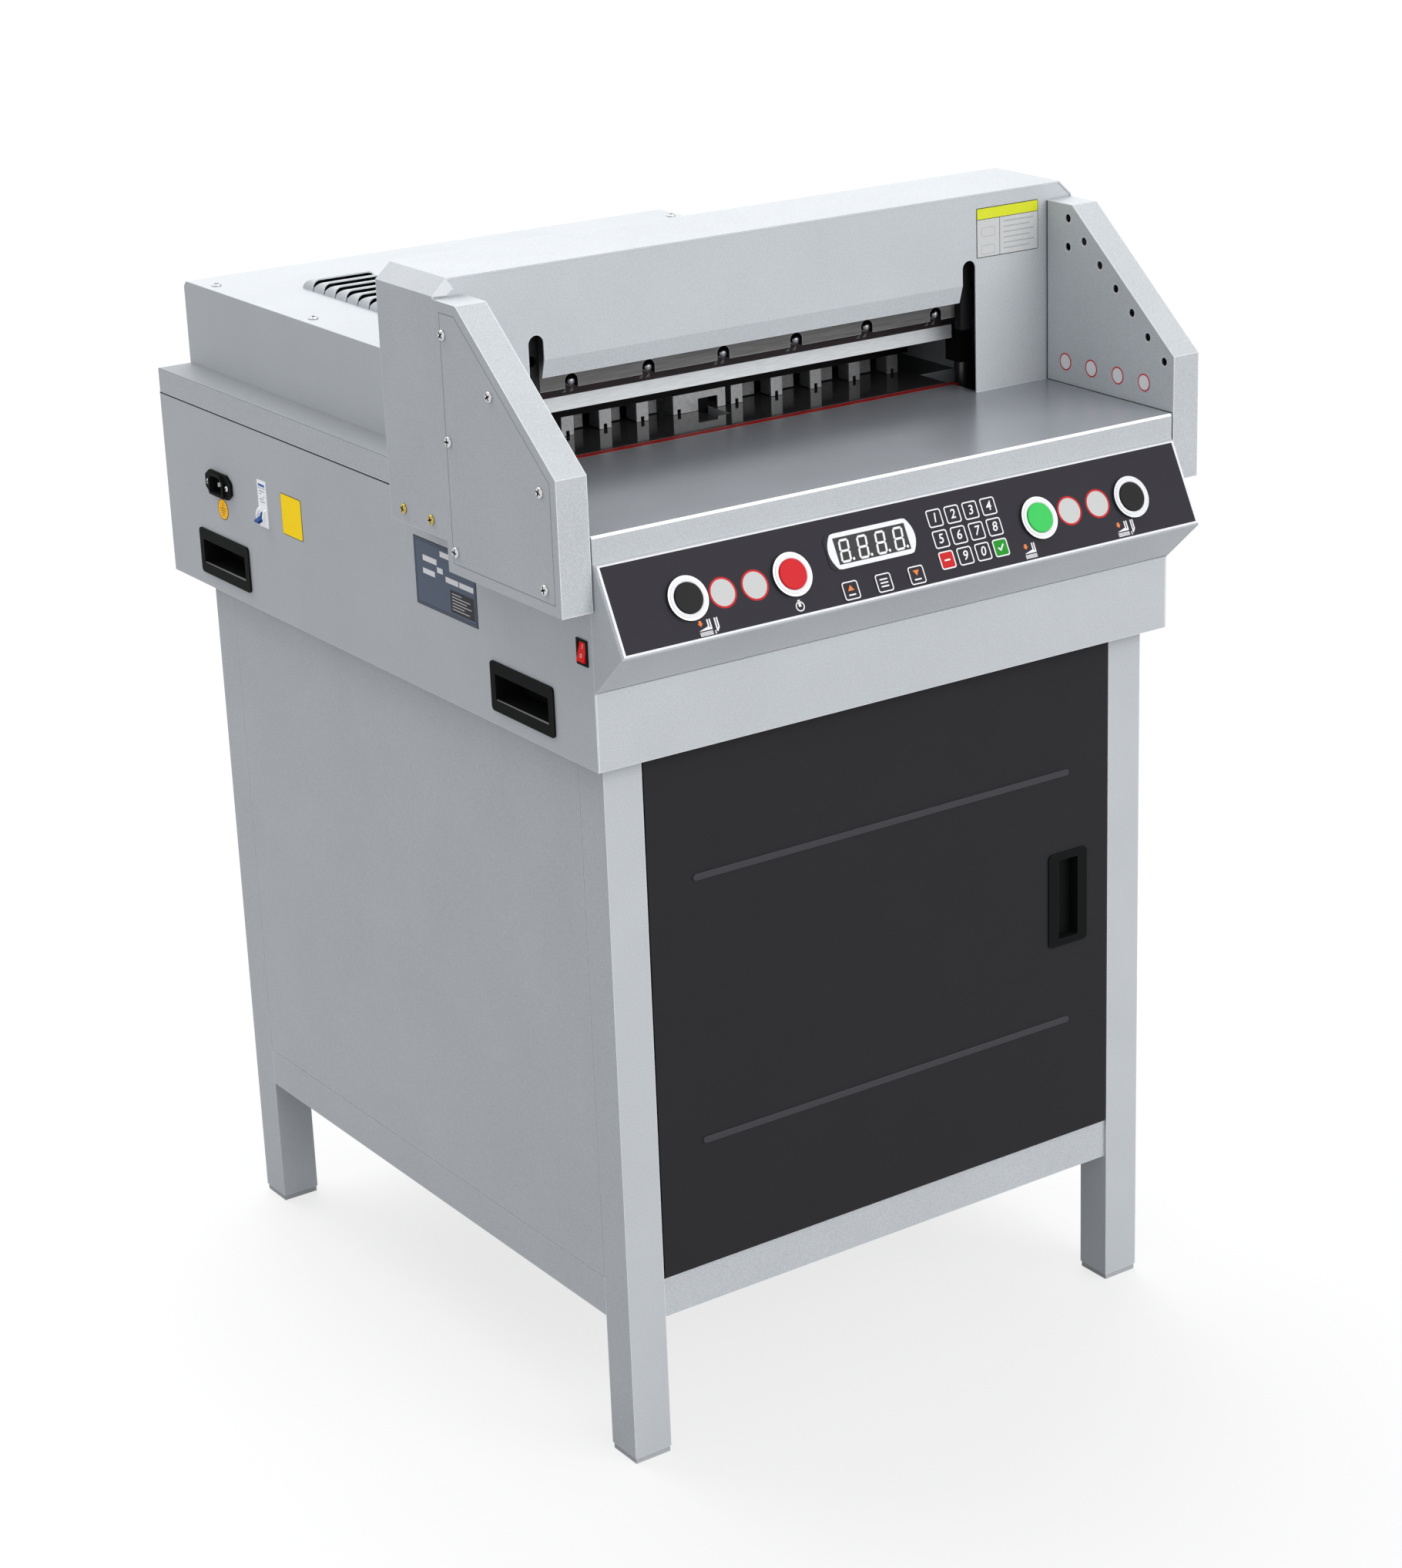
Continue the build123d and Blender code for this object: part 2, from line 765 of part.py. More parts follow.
with BuildPart() as console_overlay:
    with BuildSketch(console_face):
        with Locations((0, face_length / 2)):
            Rectangle(2 * (half - overlay_margin_side), face_length - 2 * overlay_margin_end)
        with Locations(*((x, button_row) for x in button_xs)):
            Circle(barrel_radius + fit / 3, mode=Mode.SUBTRACT)
    extrude(amount=overlay_thickness)
    with BuildSketch(console_face.offset(overlay_thickness)):
        for column in range(4):
            for row in range(3):
                with Locations((keypad_x + column * key_pitch, keypad_s + row * key_row_pitch)):
                    RectangleRounded(key_size, key_size, key_round)
        for column in range(3):
            with Locations((menu_key_x + column * menu_key_pitch, menu_key_s)):
                RectangleRounded(menu_key_width, menu_key_height, key_round)
    extrude(amount=key_proud)
    with BuildSketch(console_face.offset(overlay_thickness)):
        with Locations((display_x, display_s)):
            RectangleRounded(display_width, display_height, display_round)
    extrude(amount=display_proud)

with BuildPart() as button_bezels:
    for x in button_xs:
        with BuildSketch(console_face.offset(overlay_thickness)):
            with Locations((x, button_row)):
                Circle(bezel_radius)
        extrude(amount=bezel_proud)
        with BuildSketch(console_face.offset(-barrel_depth)):
            with Locations((x, button_row)):
                Circle(barrel_radius)
        extrude(amount=barrel_depth + overlay_thickness)
        with BuildSketch(console_face.offset(-well_depth)):
            with Locations((x, button_row)):
                Circle(well_radius)
        extrude(amount=well_depth + overlay_thickness + bezel_proud, mode=Mode.SUBTRACT)
        with BuildSketch(console_face.offset(-barrel_depth)):
            with Locations((x, button_row)):
                Circle(stem_radius + running_fit)
        extrude(amount=barrel_depth, mode=Mode.SUBTRACT)


def push_button(x):
    """A round cap in its well, on a stem that runs in the bezel's barrel."""
    with BuildPart() as button:
        with BuildSketch(console_face.offset(button_rest)):
            with Locations((x, button_row)):
                Circle(button_radius)
        extrude(amount=button_height)
        fillet(button.edges().filter_by(GeomType.CIRCLE).sort_by(Axis.Z)[-1], button_round)
        with BuildSketch(console_face.offset(-stem_length)):
            with Locations((x, button_row)):
                Circle(stem_radius)
        extrude(amount=stem_length + button_rest)
    return button


left_cut_button, power_button, reset_button, right_cut_button = [push_button(x) for x in button_xs]

# Rocker switch: its paddle turns on a pin across the frame
rocker_x = -half + rocker_axis_depth
paddle_radius = rocker_mouth_height / 2 - fit

with BuildPart() as rocker_frame:
    slab((-half - rocker_flange, -half),
         (rocker_y - rocker_flange_width / 2, rocker_y + rocker_flange_width / 2),
         (rocker_z - rocker_flange_height / 2, rocker_z + rocker_flange_height / 2))
    slab((-half, -half + rocker_body_depth),
         (rocker_y - rocker_cut_width / 2, rocker_y + rocker_cut_width / 2),
         (rocker_z - rocker_cut_height / 2, rocker_z + rocker_cut_height / 2))
    slab((-half - rocker_flange, -half + rocker_body_depth - rocker_wall),
         (rocker_y - rocker_mouth_width / 2, rocker_y + rocker_mouth_width / 2),
         (rocker_z - rocker_mouth_height / 2, rocker_z + rocker_mouth_height / 2), mode=Mode.SUBTRACT)
    bar("Y", (rocker_y - rocker_mouth_width / 2, rocker_y + rocker_mouth_width / 2),
        (rocker_x, rocker_z), rocker_pin_radius)


def paddle_rim(angle, side):
    """A rim point of the paddle, out of the sheet by an angle, above (1) or below (-1) its axis."""
    return (rocker_x - paddle_radius * sin(radians(angle)), rocker_z + side * paddle_radius * cos(radians(angle)))


with BuildPart() as rocker_paddle:
    with BuildSketch(Plane.XZ.offset(-(rocker_y + rocker_mouth_width / 2 - fit))):
        with BuildLine():
            upper = paddle_rim(rocker_low_angle, 1)
            lower = paddle_rim(rocker_high_angle, -1)
            belly = degrees(atan2(rocker_belly, paddle_radius))
            upper_in = paddle_rim(-belly, 1)
            lower_in = paddle_rim(-belly, -1)
            Polyline(upper, (rocker_x - rocker_ridge, rocker_z), lower)
            ThreePointArc(lower, paddle_rim((rocker_high_angle - belly) / 2, -1), lower_in)
            Line(lower_in, upper_in)
            ThreePointArc(upper_in, paddle_rim((rocker_low_angle - belly) / 2, 1), upper)
        make_face()
        with Locations((rocker_x, rocker_z)):
            Circle(rocker_pin_radius + running_fit, mode=Mode.SUBTRACT)
    extrude(amount=rocker_mouth_width - 2 * fit)

# Mains inlet with three pins in its socket
with BuildPart() as power_inlet:
    ear = inlet_flange_length / 2
    shoulder = ear - inlet_ear
    rise = inlet_flange_height / 2
    outline = ((-shoulder, -rise), (shoulder, -rise), (ear, -rise / 2), (ear, rise / 2),
               (shoulder, rise), (-shoulder, rise), (-ear, rise / 2), (-ear, -rise / 2))
    profile_yz([(inlet_y + y, inlet_z + z) for y, z in outline], (-half - inlet_flange, -half))
    slab((-half, -half + inlet_body_depth),
         (inlet_y - inlet_body_length / 2, inlet_y + inlet_body_length / 2),
         (inlet_z - inlet_body_height / 2, inlet_z + inlet_body_height / 2))
    mouth_floor = -half - inlet_flange + inlet_mouth_depth
    slab((-half - inlet_flange, mouth_floor),
         (inlet_y - inlet_mouth_length / 2, inlet_y + inlet_mouth_length / 2),
         (inlet_z - inlet_mouth_height / 2, inlet_z + inlet_mouth_height / 2), mode=Mode.SUBTRACT)
    for step, lift in ((-1, -1), (0, 1), (1, -1)):
        pin_y = inlet_y + step * inlet_pin_pitch
        pin_at = inlet_z + lift * inlet_pin_offset / 2
        slab((mouth_floor - inlet_pin_length, mouth_floor),
             (pin_y - inlet_pin_width / 2, pin_y + inlet_pin_width / 2),
             (pin_at - inlet_pin_height / 2, pin_at + inlet_pin_height / 2))

# Circuit breaker with a drum-shaped lever
lever_x = -half + lever_axis_depth

with BuildPart() as breaker_body:
    slab((-half - breaker_proud, -half + breaker_reach),
         (breaker_y - breaker_width / 2, breaker_y + breaker_width / 2),
         (breaker_z - breaker_height / 2, breaker_z + breaker_height / 2))
    bar("Y", (breaker_y - lever_width / 2 - fit, breaker_y + lever_width / 2 + fit),
        (lever_x, lever_z), lever_radius + running_fit, mode=Mode.SUBTRACT)

with BuildPart() as breaker_lever:
    bar("Y", (breaker_y - lever_width / 2, breaker_y + lever_width / 2), (lever_x, lever_z), lever_radius)
    toggle = Plane(origin=(lever_x, breaker_y, lever_z),
                   x_dir=(-cos(radians(lever_rest_angle)), 0, -sin(radians(lever_rest_angle))),
                   z_dir=(0, 1, 0))
    with BuildSketch(toggle.offset(-lever_width / 2)):
        with Locations((lever_length / 2, 0)):
            SlotOverall(lever_length, lever_thickness)
    extrude(amount=lever_width)

# Control board on posts, with its transformer
board_y = apron_y + board_depth
board_z = base_top + board_height

with BuildPart() as control_board:
    slab((-board_length / 2, board_length / 2), (board_y, board_y + board_width),
         (board_z, board_z + board_thickness))
    with Locations((0, board_y + board_width / 2, base_top + board_height / 2)):
        with GridLocations(board_length - 2 * board_post_inset, board_width - 2 * board_post_inset, 2, 2):
            Cylinder(board_post_radius, board_height)
    slab((-board_length / 2 + board_post_inset, -board_length / 2 + board_post_inset + coil_length),
         (board_y + board_post_inset, board_y + board_post_inset + coil_width),
         (board_z + board_thickness, board_z + board_thickness + coil_height))

# Table casting
table_half = half - table_side_inset
table_front_y = apron_y - table_overhang

with BuildPart() as machine_table:
    with BuildSketch(Plane.XY.offset(body_top)):
        with BuildLine():
            Polyline((-table_half, table_front_y), (table_half, table_front_y), (table_half, table_gap_y),
                     (throat_table_half, table_gap_y), (throat_table_half, table_gap_rear_y),
                     (table_half, table_gap_rear_y), (table_half, rear_y), (-table_half, rear_y),
                     (-table_half, table_gap_rear_y), (-throat_table_half, table_gap_rear_y),
                     (-throat_table_half, table_gap_y), (-table_half, table_gap_y), close=True)
        make_face()
    extrude(amount=table_thickness)
    fillet(machine_table.faces().sort_by(Axis.Y)[0].edges().filter_by(Axis.X).sort_by(Axis.Z)[-1],
           table_edge_round)
    under = (body_top, plate_underside)
    wide = table_half - table_rim
    narrow = throat_table_half - table_rim
    slab((-wide, wide), (table_front_y + table_rim, table_gap_y - table_rim), under, mode=Mode.SUBTRACT)
    slab((-wide, wide), (table_gap_rear_y + table_rim, rear_y - table_rim), under, mode=Mode.SUBTRACT)
    slab((-narrow, narrow), (table_front_y + table_rim, rear_y - table_rim), under, mode=Mode.SUBTRACT)
    slab((-throat_table_half, throat_table_half),
         (cut_y - stick_width / 2 - stick_fit, cut_y + stick_width / 2 + stick_fit),
         (table_top - stick_height - stick_fit, table_top), mode=Mode.SUBTRACT)
    slab((-gauge_slot_width / 2, gauge_slot_width / 2), (slot_front_y, slot_rear_y),
         (plate_underside, table_top), mode=Mode.SUBTRACT)

with BuildPart() as cutting_stick:
    slab((-stick_half, stick_half), (cut_y - stick_width / 2, cut_y + stick_width / 2),
         (table_top - stick_height, table_top))


# Guards: five-sided boxes whose outer side is closed by a screwed cover plate
def guard_outline(inset):
    """The guard's (y, z) outline, moved inwards by one distance on every side."""
    slope = hypot(guard_top_y - guard_front_y, guard_top_z - guard_knee_z)
    lean = (guard_top_y - guard_front_y) / slope
    climb = (guard_top_z - guard_knee_z) / slope
    knee_shift = inset * (1 - climb) / lean
    top_shift = inset * (1 - lean) / climb
    return ((guard_rear_y - inset, guard_bottom_z + inset), (guard_front_y + inset, guard_bottom_z + inset),
            (guard_front_y + inset, guard_knee_z - knee_shift), (guard_top_y + top_shift, guard_top_z - inset),
            (guard_rear_y - inset, guard_top_z - inset))


# Screw and sensor places along the guard, as shares of its length and height
guard_screw_shares = ((0.927, 0.881), (0.534, 0.713), (0.928, 0.494), (0.134, 0.434), (0.922, 0.085), (0.133, 0.084))
sensor_shares = ((0.831, 0.944), (0.831, 0.830), (0.704, 0.865), (0.579, 0.785), (0.453, 0.707), (0.327, 0.627),
                 (0.203, 0.546), (0.076, 0.466))


def guard_places(shares):
    """Places on the guard's side, as (y, z)."""
    length = guard_rear_y - guard_front_y
    height = guard_top_z - guard_bottom_z
    return [(guard_front_y + along * length, guard_bottom_z + up * height) for along, up in shares]


def guard_shell(side):
    """A guard box on one side, with sensor holes on its inner face and spacers to the casing."""
    with BuildPart() as shell:
        profile_yz(guard_outline(0), side_span(side, guard_inner, guard_outer))
        profile_yz(guard_outline(guard_sheet),
                   side_span(side, guard_inner + guard_sheet, guard_outer - guard_ledge), mode=Mode.SUBTRACT)
        profile_yz(guard_outline(cover_inset),
                   side_span(side, guard_outer - guard_recess, guard_outer), mode=Mode.SUBTRACT)
        profile_yz(guard_outline(cover_inset + ledge_width),
                   side_span(side, guard_outer - guard_ledge, guard_outer), mode=Mode.SUBTRACT)
        for y, z in guard_places(sensor_shares):
            bar("X", side_span(side, guard_inner, guard_inner + guard_sheet), (y, z), guard_hole_radius,
                mode=Mode.SUBTRACT)
        for y, z in guard_places(guard_screw_shares):
            bar("X", side_span(side, guard_outer - guard_ledge, guard_outer), (y, z),
                guard_screw_shank + running_fit, mode=Mode.SUBTRACT)
        for y in (apron_y + guard_boss_inset, head_y - guard_boss_inset):
            bar("X", side_span(side, half, guard_inner), (y, body_top - guard_boss_drop), guard_boss_radius)
    return shell


guard_left = guard_shell(-1)
guard_right = guard_shell(1)

with BuildPart() as guard_covers:
    for side in (-1, 1):
        profile_yz(guard_outline(cover_inset + cover_fit),
                   side_span(side, guard_outer - guard_recess, guard_outer - guard_recess + cover_sheet))
        for y, z in guard_places(guard_screw_shares):
            bar("X", side_span(side, guard_outer - guard_recess, guard_outer), (y, z),
                guard_screw_shank + running_fit, mode=Mode.SUBTRACT)

hood_screw_xs = (-hood_half + hood_screw_inset_side, hood_half - hood_screw_inset_side)
hood_screw_ys = [rear_y - hood_screw_inset_rear - step * hood_screw_pitch for step in (0, 1)]

with BuildPart() as panel_screws:
    for side in (-1, 1):
        seat = guard_outer - guard_recess + cover_sheet
        for y, z in guard_places(guard_screw_shares):
            bar("X", side_span(side, seat, seat + guard_screw_head), (y, z), guard_screw_radius)
            bar("X", side_span(side, guard_outer - guard_ledge, seat), (y, z), guard_screw_shank)
    for x in hood_screw_xs:
        for y in hood_screw_ys:
            bar("Z", (hood_top, hood_top + guard_screw_head), (x, y), guard_screw_radius)
            bar("Z", (hood_top - 2 * sheet, hood_top), (x, y), guard_screw_shank)

# Head cover: one bent sheet over both columns, with a back wall that the gauge passes under
def head_outline(inset):
    """The cover's (x, z) outline, moved inwards by one distance."""
    corner = inset * head_chamfer_width / (head_chamfer_width + head_chamfer_height)
    return ((-head_half + inset, column_bottom + inset), (head_half - inset, column_bottom + inset),
            (head_half - inset, head_top - head_chamfer_height - corner),
            (head_half - head_chamfer_width - corner, head_top - inset),
            (-head_half + head_chamfer_width + corner, head_top - inset),
            (-head_half + inset, head_top - head_chamfer_height - corner))


def profile_xz(points, ys, mode=Mode.ADD):
    """An outline of (x, z) points, extruded from a high to a low y."""
    with BuildSketch(Plane.XZ.offset(-ys[1])) as outline:
        with BuildLine():
            Polyline(*points, close=True)
        make_face()
    extrude(outline.sketch, amount=ys[1] - ys[0], mode=mode)


with BuildPart() as head_cover:
    profile_xz(head_outline(0), (head_y, head_rear_y))
    profile_xz(head_outline(sheet), (head_y, head_rear_y - sheet), mode=Mode.SUBTRACT)
    slab((-half - fit, half + fit), (head_y, head_rear_y), (column_bottom, table_top), mode=Mode.SUBTRACT)
    slab((-hood_half + sheet, hood_half - sheet), (head_y, head_rear_y),
         (column_bottom, hood_top - sheet), mode=Mode.SUBTRACT)
    for side in (-1, 1):
        for y in boss_ys:
            bar("X", side_span(side, head_half - sheet, head_half), (y, boss_z),
                guard_screw_shank + running_fit, mode=Mode.SUBTRACT)

with BuildPart() as column_screws:
    for side in (-1, 1):
        for y in boss_ys:
            bar("X", side_span(side, head_half, head_half + column_screw_head), (y, boss_z), column_screw_radius)
            bar("X", side_span(side, head_half - column_screw_length, head_half), (y, boss_z), guard_screw_shank)

# Front panel: it stands on the table at both sides of the throat and hangs over the middle with a bent lip
with BuildPart() as upper_front_panel:
    front_span = (panel_y, panel_y + sheet)
    profile_xz(head_outline(sheet + fit), front_span)
    slab((-half - fit, half + fit), front_span, (column_bottom, table_top), mode=Mode.SUBTRACT)
    slot_tops = table_top + throat_slot_top - throat_slot_width / 2
    slab((throat_left, throat_right), front_span, (table_top, table_top + lip_top), mode=Mode.SUBTRACT)
    for x in (throat_left + throat_slot_width / 2, throat_right - throat_slot_width / 2):
        slab((x - throat_slot_width / 2, x + throat_slot_width / 2), front_span, (table_top, slot_tops),
             mode=Mode.SUBTRACT)
        bar("Y", front_span, (x, slot_tops), throat_slot_width / 2, mode=Mode.SUBTRACT)
    lip = ((panel_y, table_top + lip_top), (panel_y + lip_run, table_top + lip_bottom),
           (panel_y + lip_run + sheet, table_top + lip_bottom), (panel_y + sheet, table_top + lip_top))
    profile_yz(lip, (throat_left + throat_slot_width, throat_right - throat_slot_width))

def hood_section(inset):
    """The hood's (y, z) outline with its bent rear edge, moved inwards by one distance."""
    return ((hood_y, table_top), (hood_y, hood_top - inset), (rear_y - hood_rear_chamfer, hood_top - inset),
            (rear_y - inset, hood_top - hood_rear_chamfer), (rear_y - inset, table_top))


def louvre(inset):
    """A pressed bump: a flat mouth that looks forward, and a back that curves down to the sheet."""
    length, depth, height = vent_length - 2 * inset, louvre_depth - inset, louvre_height - inset
    with BuildPart() as bump:
        with BuildSketch(Plane.YZ.offset(-length / 2)) as flank:
            Ellipse(depth, height)
        extrude(flank.sketch, amount=length)
        slab((-length / 2, length / 2), (0, depth), (0, height), mode=Mode.INTERSECT)
        with BuildSketch(Plane.XZ) as mouth:
            RectangleRounded(length, 2 * height, louvre_corner - inset)
        extrude(mouth.sketch, amount=-depth, mode=Mode.INTERSECT)
    return bump.part


louvre_places = [Location((side * vent_x, rear_y - vent_first - step * vent_pitch, hood_top))
                 for step in range(vent_count) for side in (-1, 1)]

# Rear hood: one sheet with two rows of louvres and the holes of its four screws
with BuildPart() as rear_hood:
    profile_yz(hood_section(0), (-hood_half, hood_half))
    profile_yz(hood_section(sheet), (-hood_half + sheet, hood_half - sheet), mode=Mode.SUBTRACT)
    add([louvre(0).moved(place) for place in louvre_places])
    add([louvre(sheet).moved(place) for place in louvre_places], mode=Mode.SUBTRACT)
    with BuildSketch(Plane.XY.offset(hood_top)):
        with Locations(*((place.position.X, place.position.Y + (louvre_depth - sheet) / 2)
                         for place in louvre_places)):
            Rectangle(vent_length - 2 * sheet, louvre_depth - sheet)
        with Locations(*((x, y) for x in hood_screw_xs for y in hood_screw_ys)):
            Circle(guard_screw_shank + running_fit)
    extrude(amount=-sheet, mode=Mode.SUBTRACT)

# Side frames: thick plates through the table's side gaps, with bosses for the cover and a screw shelf
with BuildPart() as side_frames:
    for side in (-1, 1):
        slab(side_span(side, frame_inner_half, frame_outer_half), (frame_y, frame_rear_y),
             (base_top, head_top - frame_top_gap))
        for y in boss_ys:
            bar("X", side_span(side, frame_outer_half, head_half - sheet), (y, boss_z), column_boss_radius)
            bar("X", side_span(side, head_half - column_screw_length, head_half - sheet), (y, boss_z),
                guard_screw_shank + running_fit, mode=Mode.SUBTRACT)
        slab(side_span(side, frame_inner_half - shelf_reach, frame_inner_half),
             (screw_y - shelf_half_depth, screw_y + shelf_half_depth), (shelf_bottom_z, shelf_top_z))
        bar("Z", (shelf_bottom_z, shelf_top_z), (side * clamp_screw_x, screw_y),
            clamp_screw_radius + running_fit, mode=Mode.SUBTRACT)

# Head beam
with BuildPart() as head_beam:
    slab((-frame_inner_half, frame_inner_half), (beam_y, beam_y + beam_thickness), (beam_bottom_z, beam_top_z))
    for side in (-1, 1):
        bar("Z", (beam_bottom_z, beam_bottom_z + screw_end), (side * clamp_screw_x, screw_y),
            clamp_screw_radius + running_fit, mode=Mode.SUBTRACT)
        bar("Y", (beam_y, beam_y + beam_thickness), (side * guide_pin_x, pin_z),
            guide_pin_radius + running_fit, mode=Mode.SUBTRACT)

with BuildPart() as guide_pins:
    for side in (-1, 1):
        head_back = carrier_y - fit
        bar("Y", (head_back, beam_y + beam_thickness), (side * guide_pin_x, pin_z), guide_pin_radius)
        bar("Y", (head_back - guide_pin_head, head_back), (side * guide_pin_x, pin_z), guide_pin_head_radius)

# Knife carrier: a rebated bar with two sloping slots, end arms and a lug for the pull rod
bolt_xs = [(step - (bolt_count - 1) / 2) * bolt_pitch for step in range(bolt_count)]

with BuildPart() as knife_carrier:
    slab((-carrier_left, carrier_right), (carrier_y, blade_y), (carrier_bottom_z, carrier_top_z))
    slab((-carrier_left, carrier_right), (blade_y, cut_y + fit / 2), (blade_top_z + fit, carrier_top_z))
    slab((carrier_right - lug_width, carrier_right), (carrier_y, blade_y), (lug_bottom_z, carrier_bottom_z))
    bar("Y", (rod_y - lug_pin_overhang, carrier_y), (lug_pin_x, lug_pin_z), lug_pin_radius)
    for low, high in ((-carrier_left, -arm_left_inner), (arm_right_inner, carrier_left)):
        middle = (low + high) / 2
        slab((low, high), (carrier_y - arm_proud, carrier_y), (table_top + arm_bottom, table_top + arm_top))
        bar("Y", (carrier_y - arm_proud, carrier_y), (middle, table_top + arm_hole_level), arm_hole_radius,
            mode=Mode.SUBTRACT)
    bar("Y", (carrier_y - arm_proud - arm_pin_proud, carrier_y),
        (carrier_left - arm_pin_inset, table_top + arm_bottom + arm_pin_radius), arm_pin_radius)
    slope_angle = degrees(atan2(knife_drop, knife_shift))
    with BuildSketch(Plane.XZ.offset(-(cut_y + fit))):
        for side in (-1, 1):
            with Locations(Location((side * guide_pin_x + knife_shift / 2, pin_z + knife_drop / 2, 0),
                                    (0, 0, slope_angle))):
                SlotCenterToCenter(knife_travel, 2 * (guide_pin_radius + running_fit))
    extrude(amount=cut_y + fit - carrier_y, mode=Mode.SUBTRACT)
    for x in bolt_xs:
        slab((x - pocket_width / 2, x + pocket_width / 2), (carrier_y, carrier_y + pocket_depth),
             (carrier_bottom_z, bolt_z + pocket_rise), mode=Mode.SUBTRACT)
        bar("Y", (carrier_y, carrier_y + pocket_depth), (x, bolt_z + pocket_rise), pocket_width / 2,
            mode=Mode.SUBTRACT)
        bar("Y", (carrier_y + pocket_depth, blade_y), (x, bolt_z), bolt_shank_radius + running_fit,
            mode=Mode.SUBTRACT)

with BuildPart() as blade:
    section = ((cut_y, edge_z), (cut_y - edge_land, edge_z), (blade_y, edge_z + bevel_height),
               (blade_y, blade_top_z), (cut_y, blade_top_z))
    profile_yz(section, (-blade_half, blade_half))
    for x in bolt_xs:
        bar("Y", (blade_y, cut_y), (x, bolt_z), bolt_shank_radius + running_fit, mode=Mode.SUBTRACT)

with BuildPart() as blade_bolts:
    for x in bolt_xs:
        seat = carrier_y + pocket_depth
        bar("Y", (seat - bolt_head_height, seat), (x, bolt_z), bolt_head_radius)
        bar("Y", (seat, cut_y - edge_land), (x, bolt_z), bolt_shank_radius)
    crowns = blade_bolts.edges().filter_by(GeomType.CIRCLE).group_by(Axis.Y)[0]
    fillet(crowns, bolt_crown_round)

with BuildPart() as pull_rod:
    rod_run = lug_pin_x - crank_pin_x
    rod_rise = lug_pin_z - crank_pin_z
    with BuildSketch(Plane.XZ.offset(-(rod_y + rod_thickness))):
        with Locations((lug_pin_x, lug_pin_z), (crank_pin_x, crank_pin_z)):
            Circle(eye_radius)
        with Locations(Location(((lug_pin_x + crank_pin_x) / 2, (lug_pin_z + crank_pin_z) / 2, 0),
                                (0, 0, degrees(atan2(rod_rise, rod_run))))):
            Rectangle(hypot(rod_run, rod_rise), rod_width)
        with Locations((lug_pin_x, lug_pin_z), (crank_pin_x, crank_pin_z)):
            Circle(lug_pin_radius + running_fit, mode=Mode.SUBTRACT)
    extrude(amount=rod_thickness)

# Crank disc and shaft: the crank pin ends just behind the pull rod's lower eye
with BuildPart() as crank_disc:
    centre = (crank_x, crank_centre_z)
    bar("Y", (crank_y, crank_y + crank_thickness), centre, crank_radius)
    bar("Y", (crank_y + crank_thickness, crank_y + crank_thickness + crank_shaft_length), centre,
        crank_shaft_radius)
    bar("Y", (crank_y - crank_to_rod + fit, crank_y), (crank_pin_x, crank_pin_z), lug_pin_radius)

with BuildPart() as knife_gearbox:
    box_x = (frame_inner_half - gearbox_width, frame_inner_half)
    box_z = (crank_centre_z - gearbox_height / 2, crank_centre_z + gearbox_height / 2)
    slab(box_x, (gearbox_y, gearbox_y + gearbox_depth), box_z)
    slab((box_x[0] + gearbox_foot_inset, box_x[1] - gearbox_foot_inset),
         (gearbox_y + gearbox_foot_inset, gearbox_y + gearbox_depth - gearbox_foot_inset), (base_top, box_z[0]))
    bar("Y", (gearbox_y, crank_y + crank_thickness + crank_shaft_length + fit), centre,
        crank_shaft_radius + running_fit, mode=Mode.SUBTRACT)

with BuildPart() as knife_motor:
    motor_axis = (gearbox_y + gearbox_depth / 2, crank_centre_z)
    bar("X", (box_x[0] - knife_motor_length, box_x[0]), motor_axis, knife_motor_radius)
    bar("X", (box_x[0] - knife_motor_length, box_x[0] - knife_motor_length + fan_cover_length), motor_axis,
        knife_motor_radius + fan_cover_extra)

# Clamp beam with a nut block at each end
with BuildPart() as clamp_beam:
    slab((-clamp_half, clamp_half), (clamp_y, clamp_y + clamp_thickness), (clamp_bottom_z, clamp_top_z))
    for side in (-1, 1):
        block = side_span(side, clamp_screw_x - clamp_nut_width / 2, clamp_screw_x + clamp_nut_width / 2)
        depth = (clamp_y + clamp_nut_inset, clamp_y + clamp_thickness - clamp_nut_inset)
        slab(block, depth, (clamp_bottom_z - clamp_nut_drop, clamp_top_z))
        slab(side_span(side, clamp_half, clamp_screw_x), depth, (clamp_top_z - clamp_arm_height, clamp_top_z))
        bar("Z", (clamp_bottom_z - clamp_nut_drop, clamp_top_z), (side * clamp_screw_x, screw_y),
            clamp_screw_radius + running_fit, mode=Mode.SUBTRACT)


def clamp_screw(side, bottom):
    """An upright screw with a toothed pulley, from its lower end to its journal in the head beam."""
    place = (side * clamp_screw_x, screw_y)
    with BuildPart() as screw:
        bar("Z", (bottom, table_top + clamp_screw_top), place, clamp_screw_radius)
        bar("Z", (pulley_bottom_z, pulley_top_z), place, pulley_radius)
        for low in (pulley_bottom_z, pulley_top_z - pulley_flange):
            bar("Z", (low, low + pulley_flange), place, pulley_radius + pulley_flange_extra)
    return screw


clamp_screw_left = clamp_screw(-1, shelf_bottom_z - screw_end)
clamp_screw_right = clamp_screw(1, shelf_bottom_z - fit)

with BuildPart() as clamp_belt:
    with BuildSketch(Plane.XY.offset(pulley_bottom_z + pulley_flange + fit)):
        with Locations((0, screw_y)):
            SlotCenterToCenter(2 * clamp_screw_x, 2 * (pulley_radius + running_fit + belt_thickness))
            SlotCenterToCenter(2 * clamp_screw_x, 2 * (pulley_radius + running_fit), mode=Mode.SUBTRACT)
    extrude(amount=pulley_height - 2 * pulley_flange - 2 * fit)

